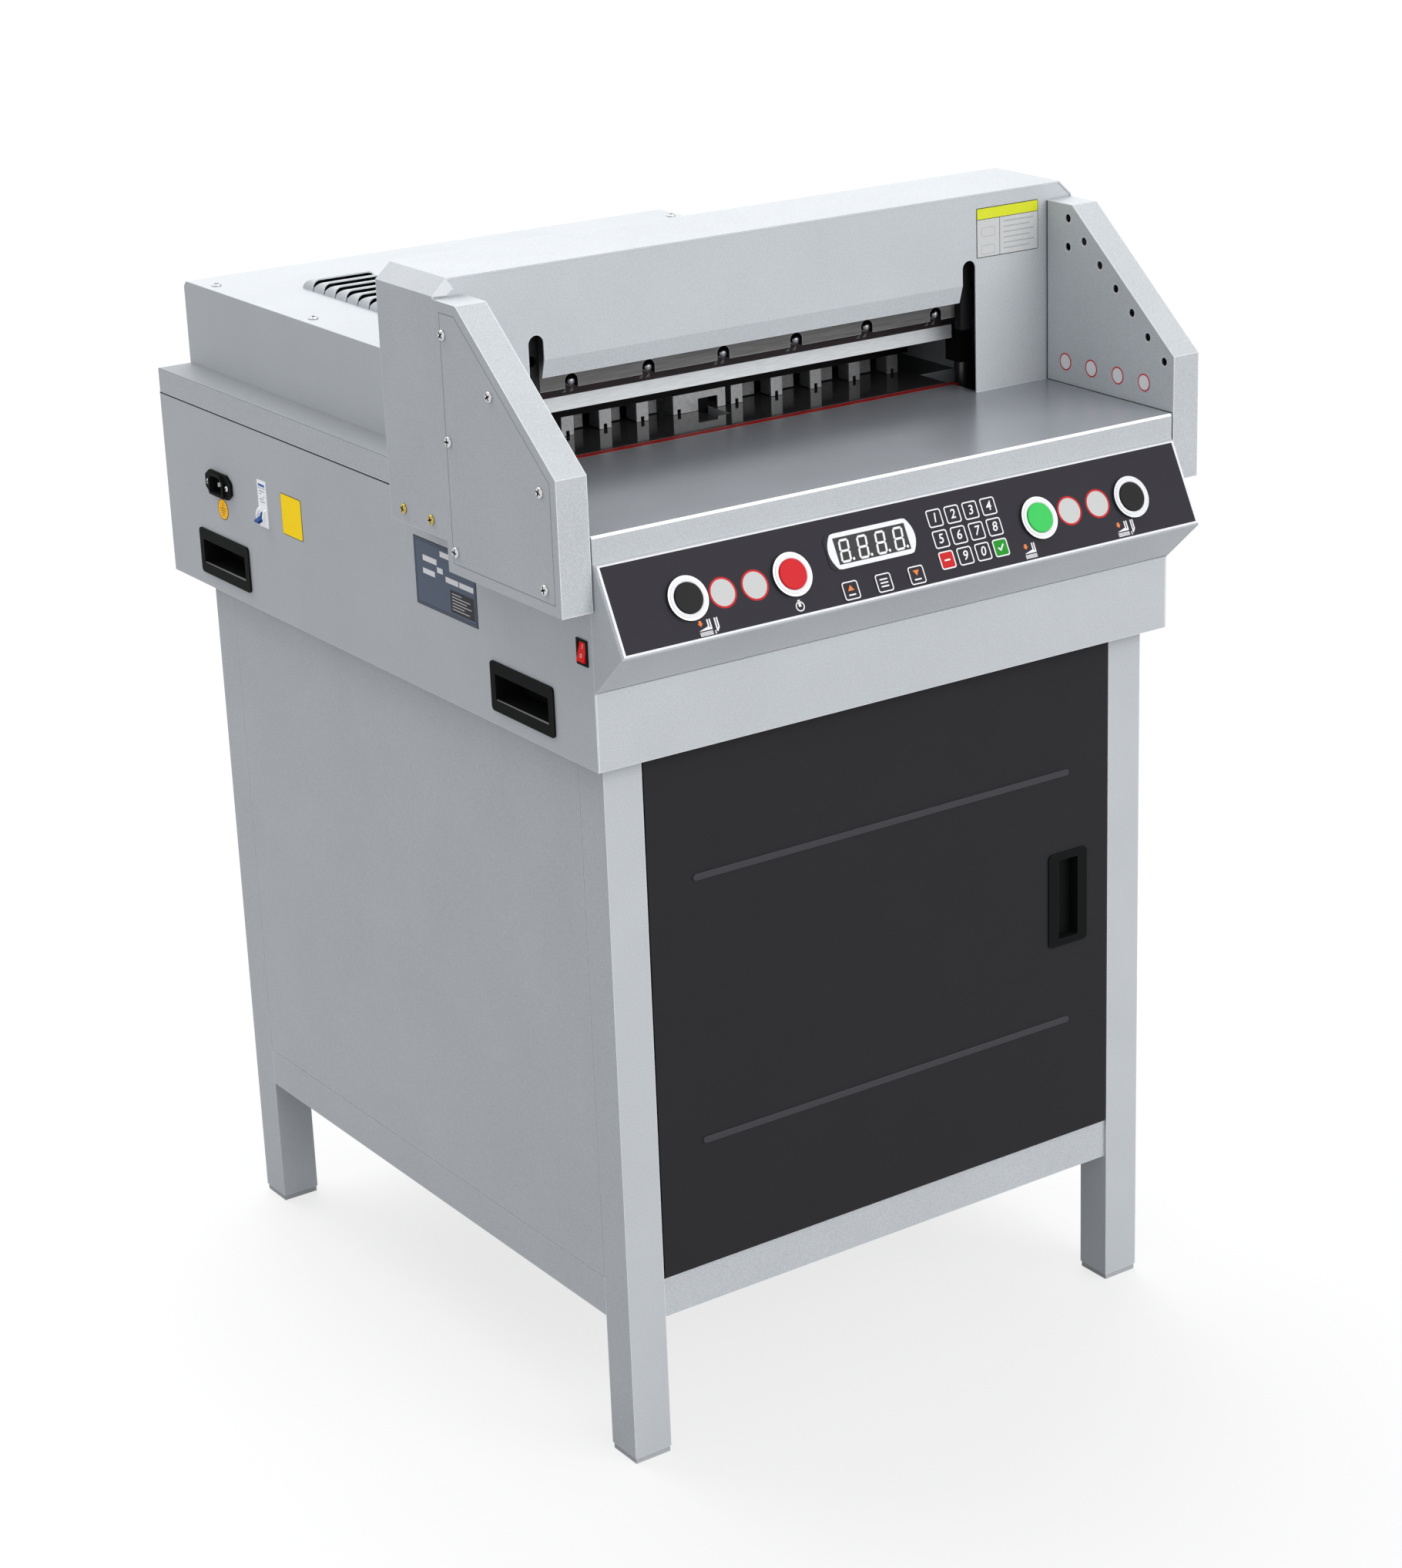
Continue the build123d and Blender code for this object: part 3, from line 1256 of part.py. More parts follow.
with BuildPart() as clamp_motor:
    slab((-clamp_screw_x - clamp_motor_size / 2, -clamp_screw_x + clamp_motor_size / 2),
         (screw_y - clamp_motor_size / 2, screw_y + clamp_motor_size / 2),
         (shelf_bottom_z - clamp_motor_height, shelf_bottom_z))
    bar("Z", (shelf_bottom_z - screw_end - fit, shelf_bottom_z), (-clamp_screw_x, screw_y),
        clamp_screw_radius + running_fit, mode=Mode.SUBTRACT)

# Back gauge fence: a bright sheet comb, with curved pockets between its fingers
left_starts = [centre_left - (step + 1) * left_pitch for step in range(left_fingers)]
right_starts = [right_first + step * right_pitch for step in range(right_fingers)]
fence_left = left_starts[-1]
fence_right = right_starts[-1] + finger_width
fingers = [(start, finger_width, left_pitch - finger_width - pocket_end_gap) for start in left_starts]
fingers += [(start, finger_width, right_pitch - finger_width - pocket_end_gap) for start in right_starts[:-1]]
fingers += [(right_starts[-1], finger_width, 0), (centre_left, centre_width, 0)]

with BuildPart() as gauge_fence:
    sheet_y = (fence_y, fence_y + fence_sheet)
    slab((fence_left, fence_right), sheet_y, (finger_top_z, fence_top_z))
    for start, width, pocket in fingers:
        slab((start, start + width), sheet_y, (table_top + fence_clearance, finger_top_z))
        slab((start, start + pocket_sheet), (fence_y, fence_y + pocket_reach),
             (table_top + pocket_bottom_gap, finger_top_z))
        notch = start + finger_width / 2
        slab((notch - notch_width / 2, notch + notch_width / 2), sheet_y,
             (table_top, table_top + notch_height), mode=Mode.SUBTRACT)
    slab((window_x - window_width / 2, window_x + window_width / 2), sheet_y,
         (table_top, table_top + window_height), mode=Mode.SUBTRACT)
    with BuildSketch(Plane.XY.offset(table_top + pocket_bottom_gap)):
        for start, width, pocket in fingers[:-2]:
            edge = start + width
            with BuildLine() as pocket_line:
                SagittaArc((edge - pocket_sheet, fence_y), (edge + pocket_bend, fence_y + pocket_reach), pocket_bend / 3)
                Line((edge + pocket_bend, fence_y + pocket_reach), (edge + pocket, fence_y + pocket_reach))
            trace(lines=pocket_line.edges(), line_width=pocket_sheet)
    extrude(amount=finger_top_z - table_top - pocket_bottom_gap)

# Gauge carriage: a dark beam that grips the fence, a neck through the table's slot and the nut below
with BuildPart() as gauge_carriage:
    beam_x = (-carriage_left, carriage_right)
    beam_front = fence_y + fence_sheet + fit / 3
    strip_back = fence_y - fit / 3
    slab(beam_x, (beam_front, beam_front + carriage_depth), (finger_top_z + fit, fence_top_z + carriage_cap))
    slab(beam_x, (strip_back - strip_thickness, beam_front), (fence_top_z + fit, fence_top_z + carriage_cap))
    slab(beam_x, (strip_back - strip_thickness, strip_back), (finger_top_z, fence_top_z + carriage_cap))
    slab((-neck_width / 2, neck_width / 2), (neck_y, neck_y + neck_depth), (nut_top_z, finger_top_z + carriage_cap))
    slab((-nut_half, nut_half), (neck_y, neck_y + neck_depth), (nut_top_z - nut_height, nut_top_z))
    bar("Y", (neck_y, neck_y + neck_depth), (0, screw_z), lead_screw_radius + running_fit, mode=Mode.SUBTRACT)
    for side in (-1, 1):
        bar("Y", (neck_y, neck_y + neck_depth), (side * rod_spacing, screw_z),
            guide_rod_radius + running_fit, mode=Mode.SUBTRACT)

rail_span = (front_bearing_y, rear_bearing_y + bearing_thickness)

with BuildPart() as lead_screw:
    bar("Y", rail_span, (0, screw_z), lead_screw_radius)

with BuildPart() as gauge_guide_rods:
    for side in (-1, 1):
        bar("Y", rail_span, (side * rod_spacing, screw_z), guide_rod_radius)

with BuildPart() as screw_bearings:
    for y in (front_bearing_y, rear_bearing_y):
        slab((-bearing_half, bearing_half), (y, y + bearing_thickness),
             (plate_underside - bearing_height, plate_underside))
        for x in (-rod_spacing, 0, rod_spacing):
            bar("Y", (y, y + bearing_thickness), (x, screw_z), guide_rod_radius + running_fit, mode=Mode.SUBTRACT)

with BuildPart() as gauge_motor:
    slab((-gauge_motor_size / 2, gauge_motor_size / 2),
         (front_bearing_y - gauge_motor_length, front_bearing_y),
         (screw_z - gauge_motor_size / 2, screw_z + gauge_motor_size / 2))

pieces = {
    "front_legs": front_legs, "rear_legs": rear_legs, "foot_pads": foot_pads, "stand_rails": stand_rails,
    "cabinet_sides": cabinet_sides, "cabinet_back": cabinet_back, "cabinet_floor": cabinet_floor,
    "door": door, "door_handle": door_handle, "door_pivot_pins": door_pivot_pins,
    "base_plate": base_plate, "side_panel_left": side_panel_left, "side_panel_right": side_panel_right,
    "front_apron": front_apron, "rear_panel": rear_panel, "grip_cups": grip_cups,
    "console_shell": console_shell, "console_overlay": console_overlay, "button_bezels": button_bezels,
    "left_cut_button": left_cut_button, "power_button": power_button, "reset_button": reset_button,
    "right_cut_button": right_cut_button, "rocker_frame": rocker_frame, "rocker_paddle": rocker_paddle,
    "power_inlet": power_inlet, "breaker_body": breaker_body, "breaker_lever": breaker_lever,
    "control_board": control_board, "machine_table": machine_table, "cutting_stick": cutting_stick,
    "guard_left": guard_left, "guard_right": guard_right, "guard_covers": guard_covers,
    "panel_screws": panel_screws, "head_cover": head_cover, "column_screws": column_screws,
    "upper_front_panel": upper_front_panel, "rear_hood": rear_hood, "side_frames": side_frames,
    "head_beam": head_beam, "guide_pins": guide_pins, "knife_carrier": knife_carrier, "blade": blade,
    "blade_bolts": blade_bolts, "pull_rod": pull_rod, "crank_disc": crank_disc,
    "knife_gearbox": knife_gearbox, "knife_motor": knife_motor, "clamp_beam": clamp_beam,
    "clamp_screw_left": clamp_screw_left, "clamp_screw_right": clamp_screw_right, "clamp_belt": clamp_belt,
    "clamp_motor": clamp_motor, "gauge_fence": gauge_fence, "gauge_carriage": gauge_carriage,
    "lead_screw": lead_screw, "gauge_guide_rods": gauge_guide_rods, "screw_bearings": screw_bearings,
    "gauge_motor": gauge_motor,
}

for label, piece in pieces.items():
    piece.part.label = label
    export_step(piece.part, f"parts/{label}.step")
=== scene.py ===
import math

import bmesh
import bpy
from mathutils import Matrix, Vector


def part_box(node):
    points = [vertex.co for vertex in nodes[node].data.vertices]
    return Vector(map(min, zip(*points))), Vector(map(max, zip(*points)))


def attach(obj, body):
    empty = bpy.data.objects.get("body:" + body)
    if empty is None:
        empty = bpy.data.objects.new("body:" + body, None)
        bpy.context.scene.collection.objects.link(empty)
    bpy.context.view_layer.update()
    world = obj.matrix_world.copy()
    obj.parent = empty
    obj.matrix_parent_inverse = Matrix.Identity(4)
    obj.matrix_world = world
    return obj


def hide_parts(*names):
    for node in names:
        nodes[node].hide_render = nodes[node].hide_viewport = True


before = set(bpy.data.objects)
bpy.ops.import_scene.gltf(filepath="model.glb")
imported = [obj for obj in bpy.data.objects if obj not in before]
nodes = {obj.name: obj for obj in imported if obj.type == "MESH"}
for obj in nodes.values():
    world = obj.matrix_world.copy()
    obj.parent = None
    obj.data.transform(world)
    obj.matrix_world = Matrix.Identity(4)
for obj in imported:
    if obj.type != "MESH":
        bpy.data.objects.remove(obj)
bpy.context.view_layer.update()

MM = 0.001
X, Y, Z = 0, 1, 2


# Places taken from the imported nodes, in mm

def corners(node):
    """Lowest and highest corner of a node's box, to a hundredth of a millimetre."""
    return [[round(value / MM, 2) for value in corner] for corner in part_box(node)]


def middle(node, axis):
    low, high = corners(node)
    return round((low[axis] + high[axis]) / 2, 2)


(_, side_front_y, _), (side_x, _, _) = corners("side_panel_right")
(_, _, table_bottom), (_, table_rear_y, table_top) = corners("machine_table")
hood_half, _, hood_top_z = corners("rear_hood")[1]
door_face_y = corners("front_legs")[0][Y]
(head_left_x, head_front_y, _), (_, head_rear_y, head_top_z) = corners("head_cover")
panel_front_y = corners("upper_front_panel")[0][Y]
(_, blade_front_y, blade_edge_z), (_, blade_rear_y, blade_top_z) = corners("blade")
grip_frame_x = corners("grip_cups")[1][X]
(_, guard_front_y, guard_bottom_z), (guard_outer_x, guard_rear_y, guard_top_z) = corners("guard_right")
guard_inner_x = guard_outer_x - 31.0
inlet_x = corners("power_inlet")[0][X]
inlet_y, inlet_z = middle("power_inlet", Y), middle("power_inlet", Z)
breaker_x = corners("breaker_body")[0][X]
breaker_y, breaker_z = middle("breaker_body", Y), middle("breaker_body", Z)
rocker_x = corners("rocker_frame")[0][X]
rocker_y, rocker_z = middle("rocker_frame", Y), middle("rocker_frame", Z)
button_nodes = ("left_cut_button", "power_button", "reset_button", "right_cut_button")
button_x = [middle(node, X) for node in button_nodes]


# Materials

grain_detail, cloud_detail = 2.0, 3.0
tone_places = (0.3, 0.7)
relief_depth = 0.1
bevel_samples = 6
# Turn between the rounded and the flat normal at which the painted edge highlight starts, and at which it is
# full
highlight_from, highlight_to = 0.995, 0.9


def linear(code):
    """Linear colour of an sRGB hex code."""
    shares = [int(code[i:i + 2], 16) / 255 for i in (0, 2, 4)]
    return [s / 12.92 if s <= 0.04045 else ((s + 0.055) / 1.055) ** 2.4 for s in shares]


def scaled(colour, factor):
    return [min(1.0, c * factor) for c in colour[:3]] + [1.0]


def first_of(tree, kind):
    return next(n for n in tree.nodes if n.type == kind)


def painted_edge_highlight(tree, paint, edge, edge_width):
    """The paint with another colour along its edges, a painted highlight where the rounded normal leaves the
    flat one.
    """
    soft = tree.nodes.new("ShaderNodeBevel")
    soft.samples = bevel_samples
    soft.inputs["Radius"].default_value = edge_width * MM
    flat = tree.nodes.new("ShaderNodeNewGeometry")
    turn = tree.nodes.new("ShaderNodeVectorMath")
    turn.operation = "DOT_PRODUCT"
    tree.links.new(soft.outputs["Normal"], turn.inputs[0])
    tree.links.new(flat.outputs["Normal"], turn.inputs[1])
    highlight = tree.nodes.new("ShaderNodeMapRange")
    highlight.inputs["From Min"].default_value = highlight_from
    highlight.inputs["From Max"].default_value = highlight_to
    tree.links.new(turn.outputs["Value"], highlight.inputs["Value"])
    light = tree.nodes.new("ShaderNodeMix")
    light.data_type = "RGBA"
    light.inputs["B"].default_value = scaled(edge, 1)
    tree.links.new(highlight.outputs["Result"], light.inputs["Factor"])
    tree.links.new(paint, light.inputs["A"])
    return light.outputs["Result"]


def surface(name, colour, roughness, metallic=0.0, grain=0.05, cell=1.2, stretch=(1, 1, 1), bump=0.1,
            cloud=0.0, cloud_cell=90.0, edge=None, edge_width=1.5, specular=0.5, glow=0.0):
    """Material with a fine grain, an optional larger mottle, optional lighter edges that are a painted
    highlight, and an optional glow that is painted light. Sizes in mm.
    """
    material = bpy.data.materials.new(name)
    material.use_nodes = True
    tree = material.node_tree
    shader = first_of(tree, "BSDF_PRINCIPLED")
    shader.inputs["Metallic"].default_value = metallic
    shader.inputs["Roughness"].default_value = roughness
    shader.inputs["Specular IOR Level"].default_value = specular
    # Emission in the material's own colour: painted light that brightens it
    shader.inputs["Emission Color"].default_value = scaled(colour, 1)
    shader.inputs["Emission Strength"].default_value = glow
    place = tree.nodes.new("ShaderNodeTexCoord")
    shape = tree.nodes.new("ShaderNodeMapping")
    shape.inputs["Scale"].default_value = [s / (cell * MM) for s in stretch]
    tree.links.new(place.outputs["Object"], shape.inputs["Vector"])
    fine = tree.nodes.new("ShaderNodeTexNoise")
    fine.inputs["Scale"].default_value = 1.0
    fine.inputs["Detail"].default_value = grain_detail
    tree.links.new(shape.outputs["Vector"], fine.inputs["Vector"])
    level = fine.outputs["Fac"]
    if cloud:
        large = tree.nodes.new("ShaderNodeTexNoise")
        large.inputs["Scale"].default_value = 1 / (cloud_cell * MM)
        large.inputs["Detail"].default_value = cloud_detail
        tree.links.new(place.outputs["Object"], large.inputs["Vector"])
        blend = tree.nodes.new("ShaderNodeMix")
        blend.inputs["Factor"].default_value = cloud
        tree.links.new(fine.outputs["Fac"], blend.inputs["A"])
        tree.links.new(large.outputs["Fac"], blend.inputs["B"])
        level = blend.outputs["Result"]
    tones = tree.nodes.new("ShaderNodeValToRGB")
    for element, position, factor in zip(tones.color_ramp.elements, tone_places, (1 - grain, 1 + grain)):
        element.position = position
        element.color = scaled(colour, factor)
    tree.links.new(level, tones.inputs["Fac"])
    paint = tones.outputs["Color"]
    # Lighter edges: a painted highlight
    if edge:
        paint = painted_edge_highlight(tree, paint, edge, edge_width)
    tree.links.new(paint, shader.inputs["Base Color"])
    if bump:
        relief = tree.nodes.new("ShaderNodeBump")
        relief.inputs["Strength"].default_value = bump
        relief.inputs["Distance"].default_value = relief_depth * MM
        tree.links.new(fine.outputs["Fac"], relief.inputs["Height"])
        tree.links.new(relief.outputs["Normal"], shader.inputs["Normal"])
    return material


def enamel(name, **edges):
    """The casing's light grey paint, with or without a painted highlight along its edges."""
    return surface(name, (0.60, 0.628, 0.648), 0.5, grain=0.17, cell=0.9, cloud=0.15, bump=0.5,
                   specular=0.3, **edges)


def ink(name, colour, roughness=0.45, grain=0.04, cell=0.8, bump=0.03, **more):
    """Thin even print."""
    return surface(name, colour, roughness, grain=grain, cell=cell, bump=bump, **more)


# A look's edge colour is a painted highlight along its edges, edge_width wide
looks = {
    # Painted sheet
    "paint": enamel("paint_light_grey", edge=(0.90, 0.91, 0.92), edge_width=1.1),
    "cover_paint": enamel("paint_cover"),
    # Pure white edges on the guards: a painted highlight along their folds
    "guard_paint": enamel("paint_guard", edge=(1.0, 1.0, 1.0), edge_width=1.9),
    # A darker copy of the casing grey: painted shade on the table's ledges beside the hood
    "ledge_shade_paint": surface("paint_ledge_shaded", (0.37, 0.39, 0.405), 0.5, grain=0.14, cell=0.9, bump=0.4,
                           specular=0.2),
    # Near white and glowing a little: a painted highlight on the table's rounded front edge
    "table_edge_highlight": surface("table_edge_highlight", (0.97, 0.975, 0.98), 0.4, grain=0.03, cell=1.0, bump=0.1,
                           specular=0.4, glow=0.25),
    # A paler copy of the casing grey: painted highlight on the head's folded corner
    "fold": surface("paint_fold_highlight", (0.80, 0.815, 0.825), 0.5, grain=0.05, cell=1.0, bump=0.2, specular=0.3),
    "seam": surface("seam_grey", (0.25, 0.26, 0.27), 0.6, grain=0.1, cell=1.0, bump=0.1, specular=0.1),
    "dark": surface("paint_charcoal", linear("302f32"), 0.55, grain=0.07, cell=1.2, cloud=0.3, bump=0.25,
                    specular=0.06),
    # A lighter copy of the door's charcoal: painted highlight on its raised ribs
    "rib": surface("paint_charcoal_rib_highlight", linear("424145"), 0.5, grain=0.05, cell=1.2, bump=0.2,
                   specular=0.15),
    # Dark frame paint; also laid as painted shade inside the hood, on the clamp's ends, on the knife carrier
    # and in screw recesses
    "inner": surface("paint_dark_frame_and_shade", linear("151517"), 0.6, grain=0.15, cell=3.0, cloud=0.4, bump=0.2,
                     specular=0.2),
    # Near black: the carriage's dark paint, darkened further as painted shade
    "gauge": surface("paint_gauge_dark_and_shaded", linear("0f0f10"), 0.5, grain=0.1, cell=1.6, bump=0.2, specular=0.06,
                     edge=linear("2c2d2f"), edge_width=0.9),
    # Plastic, rubber and the circuit board
    "plastic": surface("plastic_black", linear("191a1a"), 0.55, grain=0.10, cell=0.7, bump=0.4,
                       specular=0.03, edge=linear("303133"), edge_width=0.8),
    # A lighter grey: painted reflection along the grips' lower lips
    "lip": surface("plastic_lip_reflection", (0.27, 0.27, 0.27), 0.4, grain=0.08, cell=0.8, bump=0.1, specular=0.2),
    "white": surface("plastic_white", (0.92, 0.92, 0.93), 0.35, grain=0.02, cell=2.0, bump=0.05),
    # The breaker's white glows a little: painted light
    "breaker": surface("plastic_breaker", (0.95, 0.955, 0.96), 0.35, grain=0.02, cell=2.0, bump=0.05,
                       specular=0.3, glow=0.2),
    "film": surface("film_charcoal", linear("38363c"), 0.5, grain=0.05, cell=0.8, cloud=0.3, bump=0.15,
                    specular=0.08),
    "black_cap": surface("cap_black", linear("1c1c1c"), 0.45, grain=0.05, cell=1.0, bump=0.1,
                         specular=0.15),
    "red_cap": surface("cap_red", linear("dd2029"), 0.35, grain=0.03, cell=1.5, bump=0.05, specular=0.15),
    "green_cap": surface("cap_green", linear("2fd158"), 0.35, grain=0.03, cell=1.5, bump=0.05,
                         specular=0.3),
    "blue_cap": surface("cap_blue", linear("22509a"), 0.4, grain=0.06, cell=1.5, bump=0.1, specular=0.1),
    # The paddle's red glows a little: painted light
    "rocker": surface("rocker_red", linear("f01a1a"), 0.35, grain=0.04, cell=1.5, bump=0.05,
                      specular=0.1, glow=0.15),
    "stick": surface("stick_red", linear("b01e1a"), 0.45, grain=0.12, cell=2.5, stretch=(0.2, 1, 1),
                     bump=0.2),
    "foot": surface("foot_grey", (0.50, 0.52, 0.535), 0.6, grain=0.1, cell=1.5, bump=0.3, specular=0.2),
    "rubber": surface("rubber_black", linear("1c1c1c"), 0.8, grain=0.15, cell=1.5, bump=0.4, specular=0.2),
    "board": surface("circuit_board", (0.02, 0.12, 0.05), 0.5, grain=0.25, cell=4.0, bump=0.2),
    # Metal
    "chrome": surface("chrome", (0.36, 0.37, 0.38), 0.16, metallic=1.0, grain=0.03, cell=2.0, bump=0.02),
    "screw": surface("steel_screw", (0.62, 0.62, 0.63), 0.2, metallic=1.0, grain=0.10, cell=1.0,
                     bump=0.05),
    # The inlet's contacts glow a little: painted light
    "pin": surface("pin_bright", (0.75, 0.75, 0.74), 0.25, metallic=0.3, grain=0.05, cell=0.8, bump=0.05,
                   glow=0.25),
    "steel": surface("table_steel", (0.45, 0.47, 0.50), 0.24, metallic=0.4, grain=0.15, cell=0.8,
                     cloud=0.3, bump=0.3, specular=0.6, edge=(1.0, 1.0, 1.0), edge_width=2.0),
    # Near-black gloss: polished steel darkened as painted shade in the throat
    "mirror": surface("table_steel_polished_shaded", (0.035, 0.035, 0.037), 0.07, grain=0.05, cell=1.0,
                      cloud=0.3, bump=0.03, specular=0.12),
    "bright": surface("steel_bright", (0.62, 0.62, 0.61), 0.28, metallic=1.0, grain=0.07, cell=1.5,
                      stretch=(0.08, 1, 1), bump=0.1),
    # Dark steel on the clamp screws: painted shade in the throat
    "dark_steel": surface("steel_dark_shaded", (0.12, 0.12, 0.12), 0.3, metallic=0.8, grain=0.1, cell=1.5,
                          stretch=(1, 1, 0.1), bump=0.1),
    # Near black with a red-brown cast: painted reflection of the red cutting stick and the dark throat on the
    # blade's bevel
    "bevel": surface("steel_bevel_reflection", (0.035, 0.026, 0.027), 0.4, metallic=0.3, grain=0.2, cell=1.5,
                     stretch=(0.05, 1, 1), bump=0.1, specular=0.3),
    # A lighter grey: painted glints at the bolt pocket mouths
    "rim": surface("steel_rim_glint", (0.17, 0.165, 0.16), 0.5, grain=0.12, cell=0.8, bump=0.1, specular=0.2),
    "zinc": surface("steel_zinc", (0.385, 0.39, 0.395), 0.4, metallic=0.6, grain=0.15, cell=3.5,
                    cloud=0.3, cloud_cell=14.0, bump=0.35, edge=(0.6, 0.6, 0.6), edge_width=0.7),
    # A darker copy of the zinc: painted shade in the fence's recesses
    "pocket": surface("steel_zinc_shaded", (0.20, 0.20, 0.205), 0.5, metallic=0.3, grain=0.3, cell=2.0,
                      cloud=0.3, cloud_cell=10.0, bump=0.35),
    "knife": surface("steel_carrier", (0.115, 0.112, 0.108), 0.42, metallic=0.3, grain=0.22, cell=1.4,
                     stretch=(0.05, 1, 1), bump=0.15, specular=0.4, edge=(0.4, 0.4, 0.4), edge_width=0.8),
    "bolt": surface("steel_black", (0.22, 0.22, 0.23), 0.22, metallic=1.0, grain=0.1, cell=1.0, bump=0.03),
    "clamp": surface("steel_clamp", (0.74, 0.76, 0.765), 0.4, metallic=0.1, grain=0.07, cell=1.2,
                     stretch=(0.1, 1, 1), bump=0.15, edge=(0.95, 0.95, 0.95), edge_width=1.0),
    "cast": surface("cast_housing", (0.09, 0.09, 0.095), 0.55, grain=0.2, cell=2.5, bump=0.5),
    "brass": surface("brass", (0.50, 0.38, 0.10), 0.25, metallic=1.0, grain=0.08, cell=1.5, bump=0.05),
    # Prints
    "print_white": ink("print_white", (0.95, 0.95, 0.96), grain=0.02, cell=0.6),
    "print_red": ink("print_red", linear("d62f31"), specular=0.1),
    "print_green": ink("print_green", linear("2c9c30"), specular=0.1),
    "print_blue": ink("print_blue", linear("4f7fd0"), specular=0.1),
    "print_orange": ink("print_orange", linear("f0802a")),
    "print_lime": ink("print_lime", linear("e6ec1a")),
    # The yellow and amber prints glow a little: painted light
    "print_yellow": ink("print_yellow", (1.0, 0.68, 0.01), specular=0.05, glow=0.3),
    "print_amber": ink("print_amber", (1.0, 0.50, 0.015), specular=0.05, glow=0.3),
    "print_grey": ink("print_grey", linear("d8d9d7"), roughness=0.5, specular=0.1),
    "print_dark": ink("print_dark", linear("303034"), roughness=0.5, grain=0.05, specular=0.15),
    "print_slate": ink("print_slate", linear("566277"), grain=0.06, cell=0.9, cloud=0.3, bump=0.05,
                       specular=0.2),
    "window": ink("display_window", linear("343334"), roughness=0.3, grain=0.05, cell=1.0, bump=0.02,
                  specular=0.2),
}

dressing = {
    "paint": ["front_legs", "rear_legs", "stand_rails", "cabinet_sides", "cabinet_back", "cabinet_floor",
              "side_panel_left", "side_panel_right", "front_apron", "rear_panel", "console_shell",
              "head_cover", "upper_front_panel", "rear_hood"],
    "guard_paint": ["guard_left", "guard_right"],
    "cover_paint": ["guard_covers"],
    "dark": ["door"],
    "inner": ["base_plate", "side_frames", "head_beam", "knife_motor", "clamp_motor", "gauge_motor",
              "pull_rod"],
    "plastic": ["door_handle", "grip_cups", "rocker_frame", "power_inlet"],
    "breaker": ["breaker_body"],
    "film": ["console_overlay"],
    "chrome": ["button_bezels"],
    "screw": ["panel_screws"],
    "black_cap": ["left_cut_button", "right_cut_button"],
    "red_cap": ["power_button"],
    "rocker": ["rocker_paddle"],
    "green_cap": ["reset_button"],
    "blue_cap": ["breaker_lever"],
    "board": ["control_board"],
    "steel": ["machine_table"],
    "stick": ["cutting_stick"],
    "bright": ["blade", "guide_pins", "lead_screw", "gauge_guide_rods", "door_pivot_pins"],
    "dark_steel": ["clamp_screw_left", "clamp_screw_right"],
    "zinc": ["gauge_fence"],
    "knife": ["knife_carrier", "crank_disc"],
    "bolt": ["blade_bolts"],
    "clamp": ["clamp_beam"],
    "gauge": ["gauge_carriage", "screw_bearings"],
    "cast": ["knife_gearbox"],
    "brass": ["column_screws"],
    "foot": ["foot_pads"],
    "rubber": ["clamp_belt"],
}
for look, names in dressing.items():
    for name in names:
        nodes[name].data.materials.clear()
        nodes[name].data.materials.append(looks[look])


# Second looks on some faces of the nodes

steep, upright_share, slope_share, bevel_share = 0.5, 0.9, 0.15, 0.2
louvre_x, louvre_rise, louvre_lean = 178.0, 11.4, 0.02
polished_from_y = middle("cutting_stick", Y) + 0.5
pocket_from_y = -80.0
rib_margin = 0.1
cover_from_x = guard_outer_x - 17.5
pins_from_x, pins_to_x = inlet_x + 3.7, inlet_x + 16.8
pin_places = ((-7, -2), (0, 2), (7, -2))
pin_reach_y, pin_reach_z = 1.3, 2.3
clamp_bar_half = 245.5
carrier_plate_y, carrier_lip_z = -178.3, blade_top_z + 0.9
carrier_bar_x = (-246, 229)


def repaint(node, look, chosen):
    """Gives a second look to the faces of a node that the test picks; places in mm."""
    mesh = nodes[node].data
    mesh.materials.append(looks[look])
    index = len(mesh.materials) - 1
    for face in mesh.polygons:
        if chosen(face.center / MM, face.normal):
            face.material_index = index


def inside_hood(place, normal):
    """The hood's inner faces, painted dark as shade: its ceiling, and the hollow side of each louvre."""
    if place.z <= hood_top_z - louvre_rise:
        return normal.z < -steep
    nearest = louvre_x if place.x > 0 else -louvre_x
    hollow = normal.x * (place.x - nearest) < 0
    return normal.z < -louvre_lean or (abs(normal.x) > steep and normal.z < louvre_lean and hollow)


def inlet_pin(place, normal):
    """The three contacts in the inlet's socket."""
    near = [abs(place.y - inlet_y - y) < pin_reach_y and abs(place.z - inlet_z - z) < pin_reach_z
            for y, z in pin_places]
    return pins_from_x < place.x < pins_to_x and any(near)


def carrier_in_shade(place, normal):
    """The knife carrier's faces that are painted dark as shade: behind and below its front lip, and its two
    ends.
    """
    behind = place.y > carrier_plate_y and place.z < carrier_lip_z
    return behind or not carrier_bar_x[0] < place.x < carrier_bar_x[1]


# The table's rim is painted; its top is bare steel, polished behind the stick, where its near-black colour is
# painted shade
repaint("machine_table", "paint", lambda place, normal: abs(normal.z) < steep)
repaint("machine_table", "mirror", lambda place, normal: normal.z > steep and place.y > polished_from_y)
# The door's raised ribs are lighter: a painted highlight
repaint("door", "rib", lambda place, normal: place.y < door_face_y - rib_margin)
# The hood's inner faces are painted dark as shade
repaint("rear_hood", "inner", inside_hood)
# The table's rounded front edge gets a painted highlight
repaint("machine_table", "table_edge_highlight", lambda place, normal: min(-normal.y, normal.z) > slope_share)
